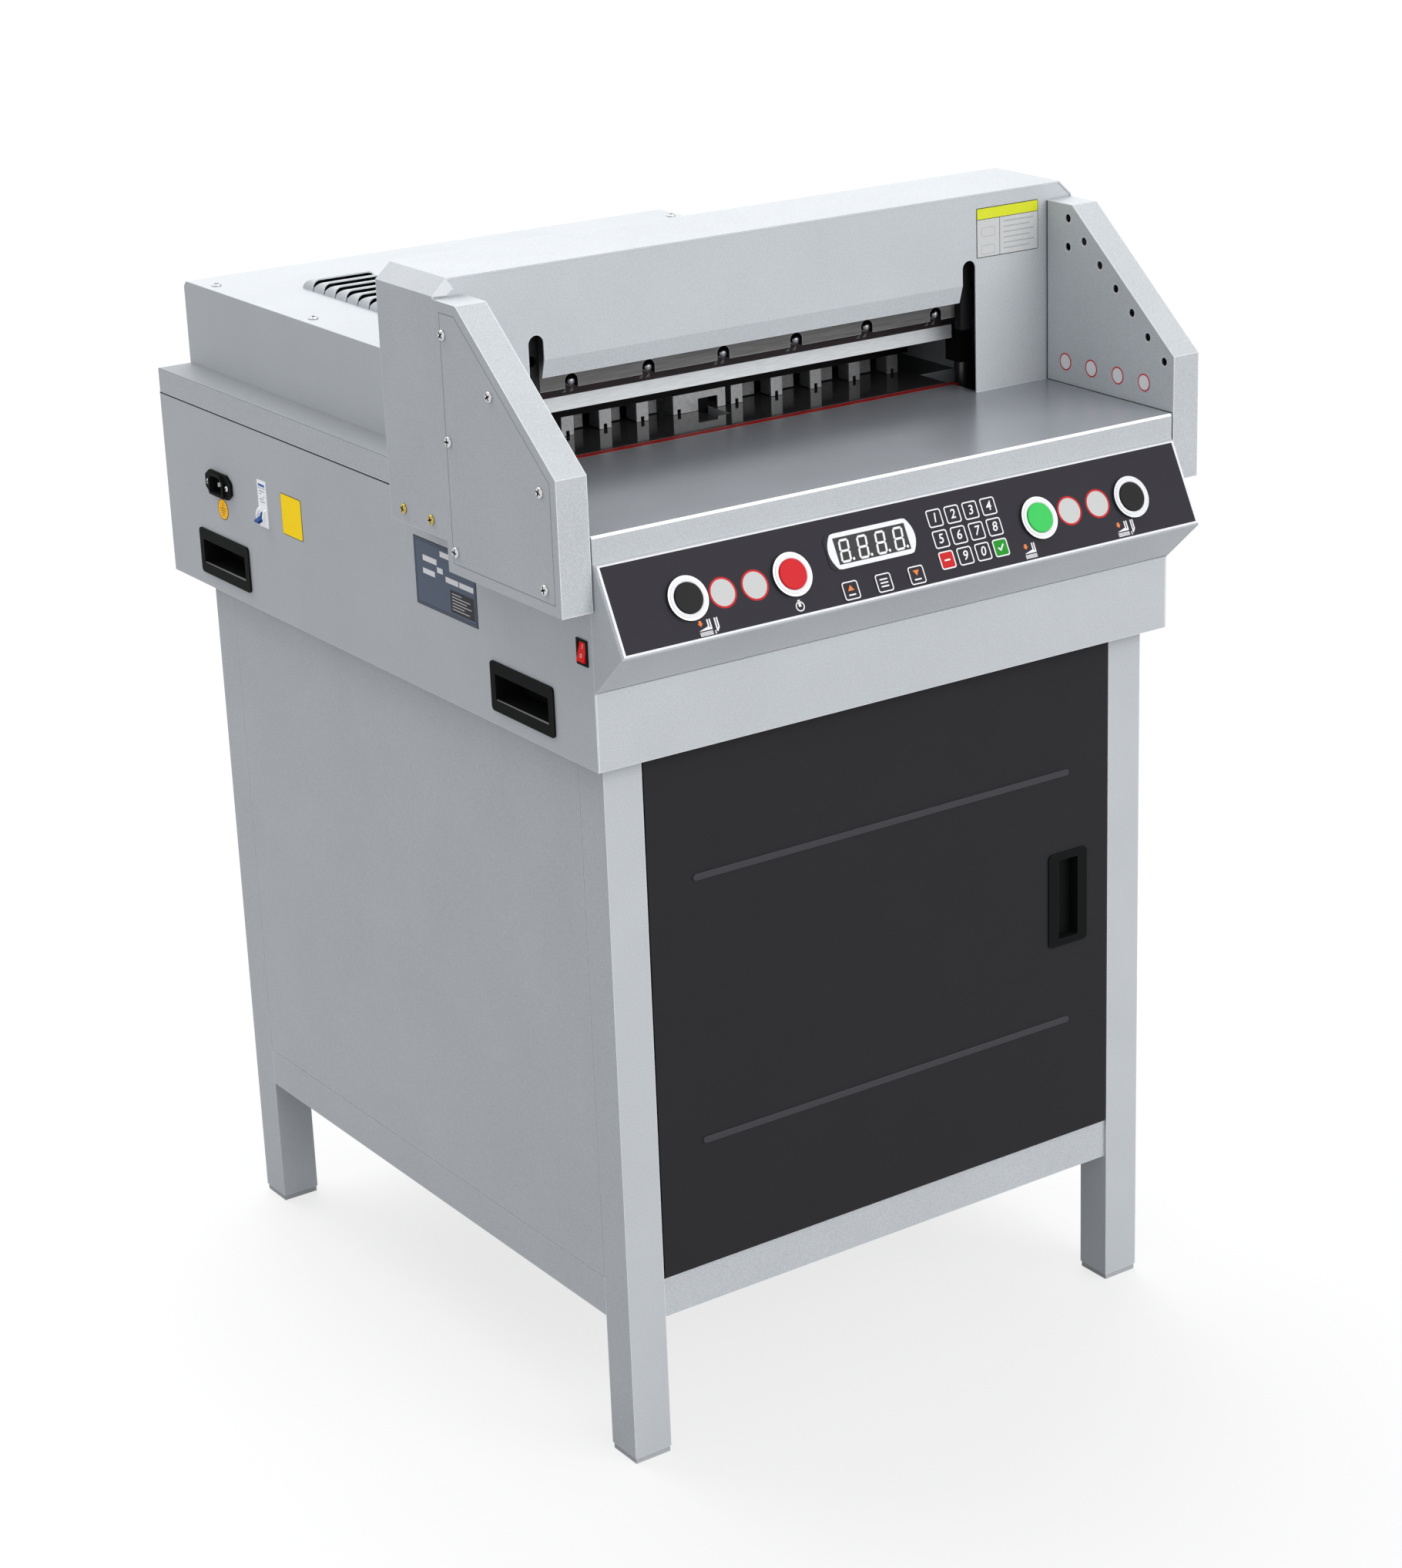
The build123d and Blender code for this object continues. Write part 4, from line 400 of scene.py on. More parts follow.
# The fence's recessed faces are painted darker as shade
repaint("gauge_fence", "pocket", lambda place, normal: place.y > pocket_from_y)
for node in ("guard_left", "guard_right"):
    repaint(node, "cover_paint",
            lambda place, normal: abs(normal.x) > upright_share and abs(place.x) > cover_from_x)
repaint("power_inlet", "pin", inlet_pin)
# The clamp beam's ends are painted dark as shade
repaint("clamp_beam", "inner", lambda place, normal: abs(place.x) > clamp_bar_half)
# The blade's bevel gets the painted reflection
repaint("blade", "bevel", lambda place, normal: normal.y < -bevel_share)
# Painted shade on the knife carrier
repaint("knife_carrier", "inner", carrier_in_shade)


# Loops of points on a flat face, in mm

least_joint = 0.4


def face_frame(origin, right, up):
    """Matrix from a drawing on a face, in mm, to the object's frame."""
    across, along = Vector(right).normalized(), Vector(up).normalized()
    axes = Matrix((across, along, across.cross(along))).transposed().to_4x4()
    return Matrix.Translation(Vector(origin) * MM) @ axes @ Matrix.Scale(MM, 4)


def left_face(x, y=0, z=0):
    """Frame on an upright face that looks to the left."""
    return face_frame((x, y, z), (0, -1, 0), (0, 0, 1))


def circle(radius, centre=(0, 0), steps=48):
    return [(centre[0] + radius * math.cos(2 * math.pi * i / steps),
             centre[1] + radius * math.sin(2 * math.pi * i / steps)) for i in range(steps)]


def half_ellipse(reach_x, reach_y, steps, x=0.0):
    """Right half of an ellipse, from its lowest point to its highest."""
    angles = [math.pi * (i / steps - 0.5) for i in range(steps + 1)]
    return [(x + reach_x * math.cos(angle), reach_y * math.sin(angle)) for angle in angles]


def rounded(width, height, radius, centre=(0, 0), steps=6):
    """Rectangle with rounded corners."""
    loop = []
    for corner, (sx, sy) in enumerate(((1, 1), (-1, 1), (-1, -1), (1, -1))):
        cx, cy = centre[0] + sx * (width / 2 - radius), centre[1] + sy * (height / 2 - radius)
        for i in range(steps + 1):
            angle = math.pi / 2 * (corner + i / steps)
            loop.append((cx + radius * math.cos(angle), cy + radius * math.sin(angle)))
    return loop


def box_loop(x0, y0, x1, y1):
    return [(x0, y0), (x1, y0), (x1, y1), (x0, y1)]


def shifted(loop, x, y, lean=0.0):
    return [(x + (px + lean * py), y + py) for px, py in loop]


def line_loop(points, width):
    """Outline of a straight-jointed line of that width."""
    left, right = [], []
    for i, point in enumerate(points):
        p = Vector(point)
        before = (p - Vector(points[i - 1])).normalized() if i else None
        after = (Vector(points[i + 1]) - p).normalized() if i + 1 < len(points) else None
        way = ((before or after) + (after or before)).normalized()
        side = Vector((-way.y, way.x))
        reach = width / 2
        if before and after:
            reach /= max(least_joint, abs(side.dot(Vector((-before.y, before.x)))))
        left.append(tuple(p + side * reach))
        right.append(tuple(p - side * reach))
    return right + left[::-1]


# Pieces

letter_weight, letter_steps = 0.012, 4


def new_object(name, data):
    made = bpy.data.objects.new(name, data)
    bpy.context.scene.collection.objects.link(made)
    return made


def piece(name, mesh, look, body):
    """Object from a finished mesh in the object's frame."""
    data = bpy.data.meshes.new(name)
    mesh.to_mesh(data)
    mesh.free()
    made = new_object(name, data)
    data.materials.append(looks[look])
    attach(made, body)
    return made


def outward(mesh):
    bmesh.ops.recalc_face_normals(mesh, faces=mesh.faces)
    return mesh


def wall(mesh, lower, upper):
    """Faces between two closed rows of vertices of the same length."""
    ahead = [(i + 1) % len(lower) for i in range(len(lower))]
    return [mesh.faces.new((lower[i], lower[j], upper[j], upper[i])) for i, j in enumerate(ahead)]


class Drawing:
    """Thin raised shapes on one face of the object, one piece for each material."""

    def __init__(self, name, matrix, body="machine"):
        self.name, self.matrix, self.body, self.layers = name, matrix, body, {}

    def layer(self, look):
        if look not in self.layers:
            self.layers[look] = bmesh.new()
        return self.layers[look]

    def shape(self, look, loop, low, high):
        mesh = self.layer(look)
        bottom = [mesh.verts.new((x, y, low)) for x, y in loop]
        top = [mesh.verts.new((x, y, high)) for x, y in loop]
        mesh.faces.new(top)
        mesh.faces.new(bottom[::-1])
        wall(mesh, bottom, top)

    def ring(self, look, outer, inner, low, high):
        mesh = self.layer(look)
        rows = [[mesh.verts.new((x, y, z)) for x, y in loop]
                for loop, z in ((outer, low), (outer, high), (inner, high), (inner, low))]
        for row, following in zip(rows, rows[1:] + rows[:1]):
            wall(mesh, row, following)

    def text(self, look, words, size, centre, low, high, lean):
        curve = bpy.data.curves.new(self.name + "_text", "FONT")
        curve.body, curve.size, curve.shear = words, size, lean
        curve.align_x, curve.align_y = "CENTER", "CENTER"
        curve.offset = size * letter_weight
        curve.resolution_u = letter_steps
        curve.extrude = (high - low) / 2
        holder = new_object(self.name + "_text", curve)
        bpy.context.view_layer.update()
        made = bpy.data.meshes.new_from_object(holder.evaluated_get(bpy.context.evaluated_depsgraph_get()))
        made.transform(Matrix.Translation((centre[0], centre[1], (high + low) / 2)))
        self.layer(look).from_mesh(made)
        bpy.data.objects.remove(holder)
        bpy.data.curves.remove(curve)
        bpy.data.meshes.remove(made)

    def close(self, slot, **own_slots):
        """Makes one piece for each look; slot and own_slots are not used."""
        for look, mesh in self.layers.items():
            bmesh.ops.transform(mesh, matrix=self.matrix, verts=mesh.verts)
            piece(self.name + "_" + look, outward(mesh), look, self.body)


def plates(name, look, boxes):
    """Thin plates from their corners in mm."""
    mesh = bmesh.new()
    for low, high in boxes:
        points = [(x * MM, y * MM, z * MM) for x in (low[X], high[X]) for y in (low[Y], high[Y])
                  for z in (low[Z], high[Z])]
        verts = [mesh.verts.new(point) for point in points]
        for face in ((0, 1, 3, 2), (4, 6, 7, 5), (0, 4, 5, 1), (2, 3, 7, 6), (0, 2, 6, 4), (1, 5, 7, 3)):
            mesh.faces.new([verts[i] for i in face])
    piece(name, mesh, look, "machine")


def both_sides(low, high):
    """A box on the right and its mirror on the left."""
    return [(low, high), ((-high[X], low[Y], low[Z]), (-low[X], high[Y], high[Z]))]


# Table ledges beside the hood, thin plates in a darker grey that is painted shade; seams under the table and
# on two edges of the right guard's inner face

ledge_gap, ledge_height = 0.4, 0.25
seam_depth, seam_height = 0.15, 1.4
guard_seam_x = guard_inner_x - 0.12
guard_seam_y = guard_rear_y - 0.9
end_gap = 0.5

plates("table_ledges", "ledge_shade_paint",
       both_sides((hood_half + ledge_gap, head_rear_y, table_top),
                  (side_x - 1.0, table_rear_y - end_gap, table_top + ledge_height)))
plates("table_seams", "inner",
       both_sides((side_x, side_front_y + end_gap, table_bottom - seam_height),
                  (side_x + seam_depth, table_rear_y - end_gap, table_bottom)))
plates("guard_seams", "inner",
       [((guard_seam_x, guard_seam_y, table_top + 0.3), (guard_inner_x, guard_rear_y, guard_top_z - 0.7)),
        ((guard_seam_x, guard_front_y + 2.0, table_top), (guard_inner_x, guard_seam_y, table_top + 0.7))])


# Console print, and a white border round it that is a painted highlight. Across is x; up runs along the
# sloping face from its nose. The overlay, its keys and its display rise to film, key_top and panel_top over
# the sheet

console_nose, console_up = (0, -430.5, 813), (0, 0.46135, 0.88723)
film, key_top, panel_top = 0.8, 1.3, 1.5
step = 0.12
console = Drawing("console_print", face_frame(console_nose, (1, 0, 0), console_up))

# White border round the film: a painted highlight along the sheet's rounded edges
border_outer = box_loop(-323.2, 1.3, 323.2, 82.6)
border_inner = box_loop(-320.8, 3.2, 320.8, 81.2)
console.ring("print_white", border_outer, border_inner, -0.6, film + step)

# Display: a white frame with bulging ends round a dark window
display_x, display_y = -45.5, 50.0
window_x, window_y = 39.6, 12.2
window_share = 0.93
frame_flat = [(38.0, -16.4), (41.5, -15.7)]
frame_end = [(47.8 - 4.6 * (i / 6) ** 2, 13.6 * i / 6) for i in range(-6, 7)]
outer = frame_flat + frame_end + [(x, -y) for x, y in frame_flat[::-1]]
outer += [(-x, -y) for x, y in outer]
inner = [(max(-window_x, min(window_x, x * window_share)), max(-window_y, min(window_y, y)))
         for x, y in outer]
console.ring("print_white", shifted(outer, display_x, display_y), shifted(inner, display_x, display_y),
             panel_top, panel_top + 3 * step)
window = box_loop(-window_x, -window_y, window_x, window_y)
console.shape("window", shifted(window, display_x, display_y), panel_top, panel_top + step)

# Seven-segment figures with their points
half_w, half_h, bar_w, bar_gap = 4.6, 9.6, 2.1, 0.5
figure_start, figure_pitch, figure_drop, figure_lean = 30.0, 19.9, 0.6, 0.12
point_x, point_y, point_radius = 6.9, -9.2, 1.35


def segment(x, y, length, upright):
    """Six-cornered bar of a figure, centred on (x, y)."""
    a, b = length / 2, bar_w / 2
    loop = [(-a, 0), (-a + b, -b), (a - b, -b), (a, 0), (a - b, b), (-a + b, b)]
    if upright:
        loop = [(-py, px) for px, py in loop]
    return shifted(loop, x, y)


bars = [segment(0, s * half_h, 2 * half_w, False) for s in (-1, 0, 1)]
bars += [segment(sx * half_w, sy * half_h / 2, half_h - bar_gap, True) for sx in (-1, 1) for sy in (-1, 1)]
for i in range(4):
    figure_x = display_x - figure_start + figure_pitch * i
    for loop in bars:
        console.shape("print_white", shifted(loop, figure_x, display_y - figure_drop, figure_lean),
                      panel_top + step, panel_top + 2 * step)
    console.shape("print_white", circle(point_radius, (figure_x + point_x, display_y + point_y), 20),
                  panel_top + step, panel_top + 2 * step)

# Keys: width, height and corner radius of the frame's two loops
key_marks = [["-", "9", "0", "+"], ["5", "6", "7", "8"], ["1", "2", "3", "4"]]
key_x, key_y, key_pitch_x, key_pitch_y = 28.8, 20.7, 20.6, 19.7
key_outer, key_inner = (16.6, 16.6, 2.6), (14.2, 14.2, 1.6)
digit_size, digit_lean = 12.2, 0.16
minus = (6.4, 1.5, 0.4)
tick = line_loop([(-3.2, 0.3), (-0.9, -2.2), (3.4, 2.9)], 1.4)
for j, row in enumerate(key_marks):
    for i, mark in enumerate(row):
        centre = (key_x + key_pitch_x * i, key_y + key_pitch_y * j)
        console.ring("print_white", rounded(*key_outer, centre), rounded(*key_inner, centre),
                     key_top, key_top + step)
        if mark == "-":
            console.shape("print_red", rounded(*key_inner, centre), key_top, key_top + step)
            console.shape("print_white", rounded(*minus, centre), key_top + step, key_top + 2 * step)
        elif mark == "+":
            console.shape("print_green", rounded(*key_inner, centre), key_top, key_top + step)
            console.shape("print_white", shifted(tick, *centre), key_top + step, key_top + 2 * step)
        else:
            console.text("print_white", mark, digit_size, centre, key_top, key_top + step, digit_lean)

# Keys below the display: arrow up, bars, arrow down
menu_x, menu_y, menu_pitch = -81.2, 13.8, 36.5
menu_outer, menu_inner = (17.0, 16.8, 2.6), (14.8, 14.6, 1.7)
menu_bar, menu_bar_pitch = (8.6, 1.3, 0.4), 3.2
arrow, arrow_rise = [(-3.4, -2.4), (3.4, -2.4), (0, 2.8)], 2.2
underline, underline_drop = (7.6, 1.4, 0.4), 4.0
for i in range(3):
    x = menu_x + menu_pitch * i
    console.ring("print_white", rounded(*menu_outer, (x, menu_y)), rounded(*menu_inner, (x, menu_y)),
                 key_top, key_top + step)
    if i == 1:
        for k in (-1, 0, 1):
            console.shape("print_white", rounded(*menu_bar, (x, menu_y + menu_bar_pitch * k)),
                          key_top, key_top + step)
    else:
        pointer = arrow if i == 0 else [(px, -py) for px, py in arrow[::-1]]
        console.shape("print_orange", shifted(pointer, x, menu_y + arrow_rise), key_top, key_top + step)
        console.shape("print_white", rounded(*underline, (x, menu_y - underline_drop)),
                      key_top, key_top + step)

# Marks below the buttons
down_arrow = [(1.4, 5.2), (1.4, 3.0), (2.6, 3.0), (0, 0), (-2.6, 3.0), (-1.4, 3.0), (-1.4, 5.2)]
down_arrow_x, down_arrow_y = 2.8, 8.4
sheet, sheet_pitch = (0, 0, 13.2, 0.6), 0.95
press_bar = [(0.4, 5.0), (9.6, 7.6), (9.6, 13.8), (11.0, 13.8), (11.0, 6.6), (12.0, 6.6), (12.0, 13.8),
             (13.4, 13.8), (13.4, 4.6), (0.4, 4.6)]
blade_mark = [(17.2, 2.4), (17.2, 13.8), (18.6, 13.8), (18.6, 4.4), (19.5, 5.6), (19.5, 13.8),
              (20.9, 13.8), (20.9, 5.0), (18.2, 1.4)]
offcut, offcut_pitch = (15.0, 0, 16.6, 0.7), 1.1


def press_mark(x, y, with_blade):
    """Sheets under a pressing bar, with or without the blade beside them."""
    low, high = film, film + step
    console.shape("print_orange", shifted(down_arrow, x + down_arrow_x, y + down_arrow_y), low, high)
    for k in range(4):
        console.shape("print_white", shifted(box_loop(*sheet), x, y + sheet_pitch * k), low, high)
    console.shape("print_white", shifted(press_bar, x, y), low, high)
    if with_blade:
        console.shape("print_white", shifted(blade_mark, x, y), low, high)
        for k in range(3):
            console.shape("print_white", shifted(box_loop(*offcut), x, y + offcut_pitch * k), low, high)


for x, y, with_blade in ((-243.9, 4.3, True), (226.6, 4.9, True), (115.2, 4.9, False)):
    press_mark(x, y, with_blade)

# Power mark
power_x = button_x[1]
power_centre, power_rim, power_hole = (power_x, 10.4), 4.6, 3.5
power_bar, power_bar_centre = (2.6, 6.4, 0.3), (power_x, 13.2)
console.ring("print_white", circle(power_rim, power_centre, 32), circle(power_hole, power_centre, 32),
             film, film + step)
console.shape("print_white", rounded(*power_bar, power_bar_centre), film, film + step)

# Plain discs between the buttons
disc_radius, disc_rim = 12.1, 13.9
for centre in ((-209.9, 37.4), (-176.2, 37.5), (179.2, 39.6), (213.3, 40.2)):
    console.ring("print_red", circle(disc_rim, centre), circle(disc_radius, centre), film, film + step)
    console.shape("print_grey", circle(disc_radius, centre), film, film + step)
console.close("overlay_film", print_white="white_plastic", print_grey="white_plastic")


# Turned rings round the buttons: radius and height over the sheet

button_row_y, ring_steps = 39.0, 64
ring_profile = [(14.5, 4.2), (17.9, 4.2), (17.9, 4.5), (17.5, 4.8), (14.9, 4.8), (14.5, 4.5)]
rings = bmesh.new()
for x in button_x:
    place = console.matrix @ Matrix.Translation((x, button_row_y, 0))
    rows = [[rings.verts.new(place @ Vector((*point, height))) for point in circle(radius, steps=ring_steps)]
            for radius, height in ring_profile]
    for row, following in zip(rows, rows[1:] + rows[:1]):
        wall(rings, row, following)
piece("button_rings", outward(rings), "white", "machine")


# Left side: plates and discs. Across is -y, up is z. The tops are heights over the sheet

base_top, field_top, earth_top, blank_top, line_top = 0.25, 0.4, 0.35, 0.5, 0.55
side = Drawing("side_plates", left_face(-side_x))

# Earth disc below the inlet, with its mark measured from the centre
earth = (-306.5, 789.3)
earth_radius, earth_rim = 10.2, 10.9
earth_lines = [(-0.35, 1.2, 0.35, 7.0)]
earth_lines += [(-reach, 0.6 - 2.3 * k, reach, 1.2 - 2.3 * k) for k, reach in enumerate((6.6, 5.0, 3.6, 2.2))]
side.shape("print_amber", circle(earth_radius, earth), 0, base_top)
side.ring("print_dark", circle(earth_rim, earth), circle(earth_radius, earth), 0, base_top)
for line in earth_lines:
    side.shape("print_dark", shifted(box_loop(*line), *earth), base_top, earth_top)

# Plain tag
tag, tag_edge, tag_face = (-157.5, 813), (41.4, 41.4, 2), (40, 40, 1.6)
tag_base, tag_top = 0.2, 0.35
side.shape("print_dark", rounded(*tag_edge, tag), 0, tag_base)
side.shape("print_yellow", rounded(*tag_face, tag), tag_base, tag_top)

# Plate with blank fields
plate_edge, plate_face = (82.4, 783.3, 191.7, 848.3), (83.4, 784.3, 190.7, 847.3)
border, border_hole, border_top = (85.0, 785.9, 189.1, 845.7), (85.5, 786.4, 188.6, 845.2), 0.47
dark_field = (145.0, 789.0, 186.6, 810.0)
white_fields = ((98.3, 827.4, 123.3, 832.8), (123.5, 821.0, 133.6, 826.2), (97.5, 815.1, 119.0, 820.2),
                (138.2, 815.3, 160.8, 820.5), (162.5, 815.3, 187.0, 820.5), (130.0, 837.3, 160.0, 842.6))
line_x, line_low, line_high, line_pitch = 148.0, 806.3, 807.2, 2.9
line_lengths = (17, 32, 26, 34, 21, 30)
side.shape("print_dark", box_loop(*plate_edge), 0, base_top)
side.shape("print_slate", box_loop(*plate_face), base_top, field_top)
side.ring("print_dark", box_loop(*border), box_loop(*border_hole), field_top, border_top)
for field in white_fields:
    side.shape("print_white", box_loop(*field), field_top, blank_top)
side.shape("print_dark", box_loop(*dark_field), field_top, blank_top)
for k, length in enumerate(line_lengths):
    drop = line_pitch * k
    side.shape("print_grey", box_loop(line_x, line_low - drop, line_x + length, line_high - drop),
               blank_top, line_top)
side.close("overlay_film")


# Lower lips of the carrying grips, a lighter grey line that is painted reflection

grip_y = (-263.5, 309.5)
lip_low, lip_high = -1.0, 0.05
lip = [(-43.0, 724.25), (44.0, 724.25), (44.0, 725.4), (-43.0, 724.7)]
for name, way in (("left", -1), ("right", 1)):
    lips = Drawing("grip_lips_" + name, face_frame((way * grip_frame_x, 0, 0), (0, way, 0), (0, 0, 1)))
    for y in grip_y:
        lips.shape("lip", shifted(lip, way * y, 0), lip_low, lip_high)
    lips.close("black_plastic")


# Breaker: printed front, and the two cheeks beside its lever

print_top = 0.1
blue_bars = (((13.0, 2.6, 0.5), 832.6), ((14.4, 0.5, 0.2), 829.6))
dark_line_z, dark_line_pitch, dark_line_width = 826.6, 2.7, 0.55
dark_lines = ((0, 11.0), (-3.0, 4.0), (3.6, 3.0), (-1.2, 8.0), (0.6, 10.0))
cheek_y, cheek_drop, cheek_half = 6.6, 12.0, 1.0
cheek_loop, cheek_print = half_ellipse(4.6, 7.6, 24), half_ellipse(3.6, 6.4, 20, 0.1)
trim = Drawing("breaker_trim", left_face(breaker_x, breaker_y))
for size, z in blue_bars:
    trim.shape("print_blue", rounded(*size, (0, z)), 0, print_top)
for k, (shift, length) in enumerate(dark_lines):
    centre = (shift, dark_line_z - dark_line_pitch * k)
    trim.shape("print_dark", rounded(length, dark_line_width, 0.2, centre), 0, print_top)
trim.close("white_plastic")
for k, y in enumerate((breaker_y - cheek_y, breaker_y + cheek_y)):
    lever_axis = (breaker_x, y, breaker_z - cheek_drop)
    cheek = Drawing("breaker_cheek_%d" % k, face_frame(lever_axis, (-1, 0, 0), (0, 0, 1)))
    cheek.shape("breaker", cheek_loop, -cheek_half, cheek_half)
    cheek.shape("foot", cheek_print, cheek_half, cheek_half + print_top)
    cheek.close("white_plastic")


# Rocker marks, one on each half of the paddle

ridge = (rocker_x + 0.1, rocker_y, rocker_z)
mark_low, mark_high = 0.02, 0.1
on_bar, on_centre = (0.7, 4.0, 0.2), (0, 5.2)
off_centre, off_rim, off_hole = (0, -3.0), 1.7, 1.15


def rocker_half(mark, up):
    return Drawing("rocker_" + mark, face_frame(ridge, (0, -1, 0), up), "rocker")


half_on, half_off = rocker_half("on", (1.75, 0, 9.3)), rocker_half("off", (2.25, 0, 8.05))
half_on.shape("print_white", rounded(*on_bar, on_centre), mark_low, mark_high)
half_on.close("white_plastic")
half_off.ring("print_white", circle(off_rim, off_centre, 24), circle(off_hole, off_centre, 24),
              mark_low, mark_high)
half_off.close("white_plastic")


# Two-tone plate on the upper front panel

plate_left, plate_right, plate_split = 240.7, 315.3, 268.0
grey_low, grey_high, lime_low, lime_high = 1043.7, 1079.6, 1080.2, 1090.3
text_left, text_right, text_indent = 273.0, 310.5, 5.0
text_low, text_high, text_pitch, text_top = 1074.4, 1075.9, 5.2, 0.45
board, board_centre = (76.0, 48.0, 1.2), (278.0, 1067.0)
badge, badge_hole = (17.0, 9.0, 2.0), (15.8, 7.8, 1.4)
front = Drawing("front_plate", face_frame((0, panel_front_y, 0), (1, 0, 0), (0, 0, 1)))
front.shape("print_dark", rounded(*board, board_centre), 0, base_top)
front.shape("print_grey", box_loop(plate_left, grey_low, plate_right, grey_high), base_top, field_top)
front.shape("print_lime", box_loop(plate_left, lime_low, plate_right, lime_high), base_top, field_top)
front.shape("print_dark", box_loop(plate_split, grey_low, plate_split + 0.5, grey_high), field_top, text_top)
for k in range(6):
    drop, right = text_pitch * k, text_right - text_indent * (k % 2)
    front.shape("foot", box_loop(text_left, text_low - drop, right, text_high - drop), field_top, text_top)
for centre in ((254.0, 1067.6), (254.0, 1050.4)):
    front.ring("foot", rounded(*badge, centre), rounded(*badge_hole, centre), field_top, text_top)
front.close("overlay_film")


# Plain discs inside the right guard

guard_disc_z, guard_disc_radius, guard_disc_rim = 934.2, 7.3, 8.6
guard = Drawing("guard_discs", left_face(guard_inner_x))
for y in (231.0, 269.8, 309.0, 347.5):
    centre = (y, guard_disc_z)
    guard.ring("print_red", circle(guard_disc_rim, centre), circle(guard_disc_radius, centre), 0, base_top)
    guard.shape("print_white", circle(guard_disc_radius, centre), 0, base_top)
guard.close("overlay_film")


# Lighter marks at the mouths of the bolt pockets on the blade's bevel: painted glints where the pocket edges
# flare

bevel_rise = 14.0
bevel_up = (0, blade_front_y - blade_rear_y, bevel_rise)
bolt_count, bolt_pitch = 6, 82.8
mouth_low, mouth_high = 0.02, 0.25
mouth_loops = ([(1.2, -13.0), (6.4, -13.4), (4.9, -8.0)], [(9.1, -13.3), (14.2, -13.5), (11.8, -5.8)])
mouths = Drawing("bolt_pocket_mouths",
                 face_frame((0, blade_front_y, blade_edge_z + bevel_rise), (1, 0, 0), bevel_up), "knife")
for i in range(bolt_count):
    for loop in mouth_loops:
        mouths.shape("rim", shifted(loop, (i - (bolt_count - 1) / 2) * bolt_pitch, 0), mouth_low, mouth_high)
mouths.close("knife_steel")


# Grooves round the guards' cover plates

groove_outer, groove_inner, groove_height = 9.4, 10.0, 0.06
knee_z, knee_share = 966.3, 0.4716
slope_top_y, slope_top_share = -240.8, 0.3586


def cover_outline(inset, way):
    """The guard's five corners moved inwards; the shares follow its slope."""
    front_y, rear_y = guard_front_y + inset, guard_rear_y - inset
    low, high = guard_bottom_z + inset, guard_top_z - inset
    outline = ((rear_y, low), (front_y, low), (front_y, knee_z - knee_share * inset),
               (slope_top_y + slope_top_share * inset, high), (rear_y, high))
    return [(way * y, z) for y, z in outline]


for name, way in (("left", -1), ("right", 1)):
    groove = Drawing("cover_groove_" + name, face_frame((way * guard_outer_x, 0, 0), (0, way, 0), (0, 0, 1)))
    outer, inner = cover_outline(groove_outer, way), cover_outline(groove_inner, way)
    groove.ring("seam", outer, inner, 0.0, groove_height)
    groove.close("dark_paint")


# Screws with a cross recess. The profile holds shares of the head's radius and height

head_profile = ((1.0, 0.0), (1.0, 0.35), (0.93, 0.7), (0.78, 0.95))
arm_width, arm_length = 0.17, 0.7
recess_taper, recess_floor = 0.7, 0.3
hood_screw_z = 0.99
screw_height = 2.2
first_turn, turn_step = 0.3, 0.9
weld = 1e-6


def cross_loop(radius):
    """The twelve corners of the recess, each followed by the middle of its edge."""
    a, b = radius * arm_width, radius * arm_length
    loop = []
    for k in range(4):
        c, s = math.cos(k * math.pi / 2), math.sin(k * math.pi / 2)
        loop += [(px * c - py * s, px * s + py * c) for px, py in ((b, -a), (b, a), (a, a))]
    cross = []
    for p, q in zip(loop, loop[1:] + loop[:1]):
        cross += [p, ((p[0] + q[0]) / 2, (p[1] + q[1]) / 2)]
    return cross


def screw_head(mesh, place, radius, height):
    """Pan head with a cross recess, standing on the local XY plane."""
    cross = cross_loop(radius)
    angles = [math.atan2(y, x) for x, y in cross]
    loops = [[(radius * share * math.cos(t), radius * share * math.sin(t), height * rise) for t in angles]
             for share, rise in head_profile]
    loops.append([(x, y, height) for x, y in cross])
    loops.append([(x * recess_taper, y * recess_taper, height * recess_floor) for x, y in cross])
    rows = [[mesh.verts.new(place @ Vector(point)) for point in loop] for loop in loops]
    bands = [wall(mesh, row, following) for row, following in zip(rows, rows[1:])]
    floor_face = mesh.faces.new(rows[-1])
    mesh.faces.new(rows[0][::-1])
    for face in bands[0] + bands[1] + bands[2]:
        face.smooth = True
    # The recess walls and floor are painted dark as shade
    for face in bands[-1] + [floor_face]:
        face.material_index = 1


def screw_piece(name, mesh, look):
    """Piece whose recesses are painted dark as shade."""
    made = piece(name, outward(mesh), look, "machine")
    made.data.materials.append(looks["inner"])
    return made


def islands(node):
    """Box of each loose part of a node, in the object's frame."""
    mesh = bmesh.new()
    mesh.from_mesh(nodes[node].data)
    bmesh.ops.remove_doubles(mesh, verts=mesh.verts, dist=weld)
    seen, found = set(), []
    for vert in mesh.verts:
        if vert in seen:
            continue
        stack, points = [vert], []
        seen.add(vert)
        while stack:
            v = stack.pop()
            points.append(v.co.copy())
            for edge in v.link_edges:
                other = edge.other_vert(v)
                if other not in seen:
                    seen.add(other)
                    stack.append(other)
        low = Vector([min(p[k] for p in points) for k in range(3)])
        high = Vector([max(p[k] for p in points) for k in range(3)])
        found.append((low, high))
    mesh.free()
    return sorted(found, key=lambda b: tuple(b[0]))


def facing(way):
    """Turns a head that looks up to look along x, that way."""
    return Matrix.Rotation(way * math.pi / 2, 4, "Y")


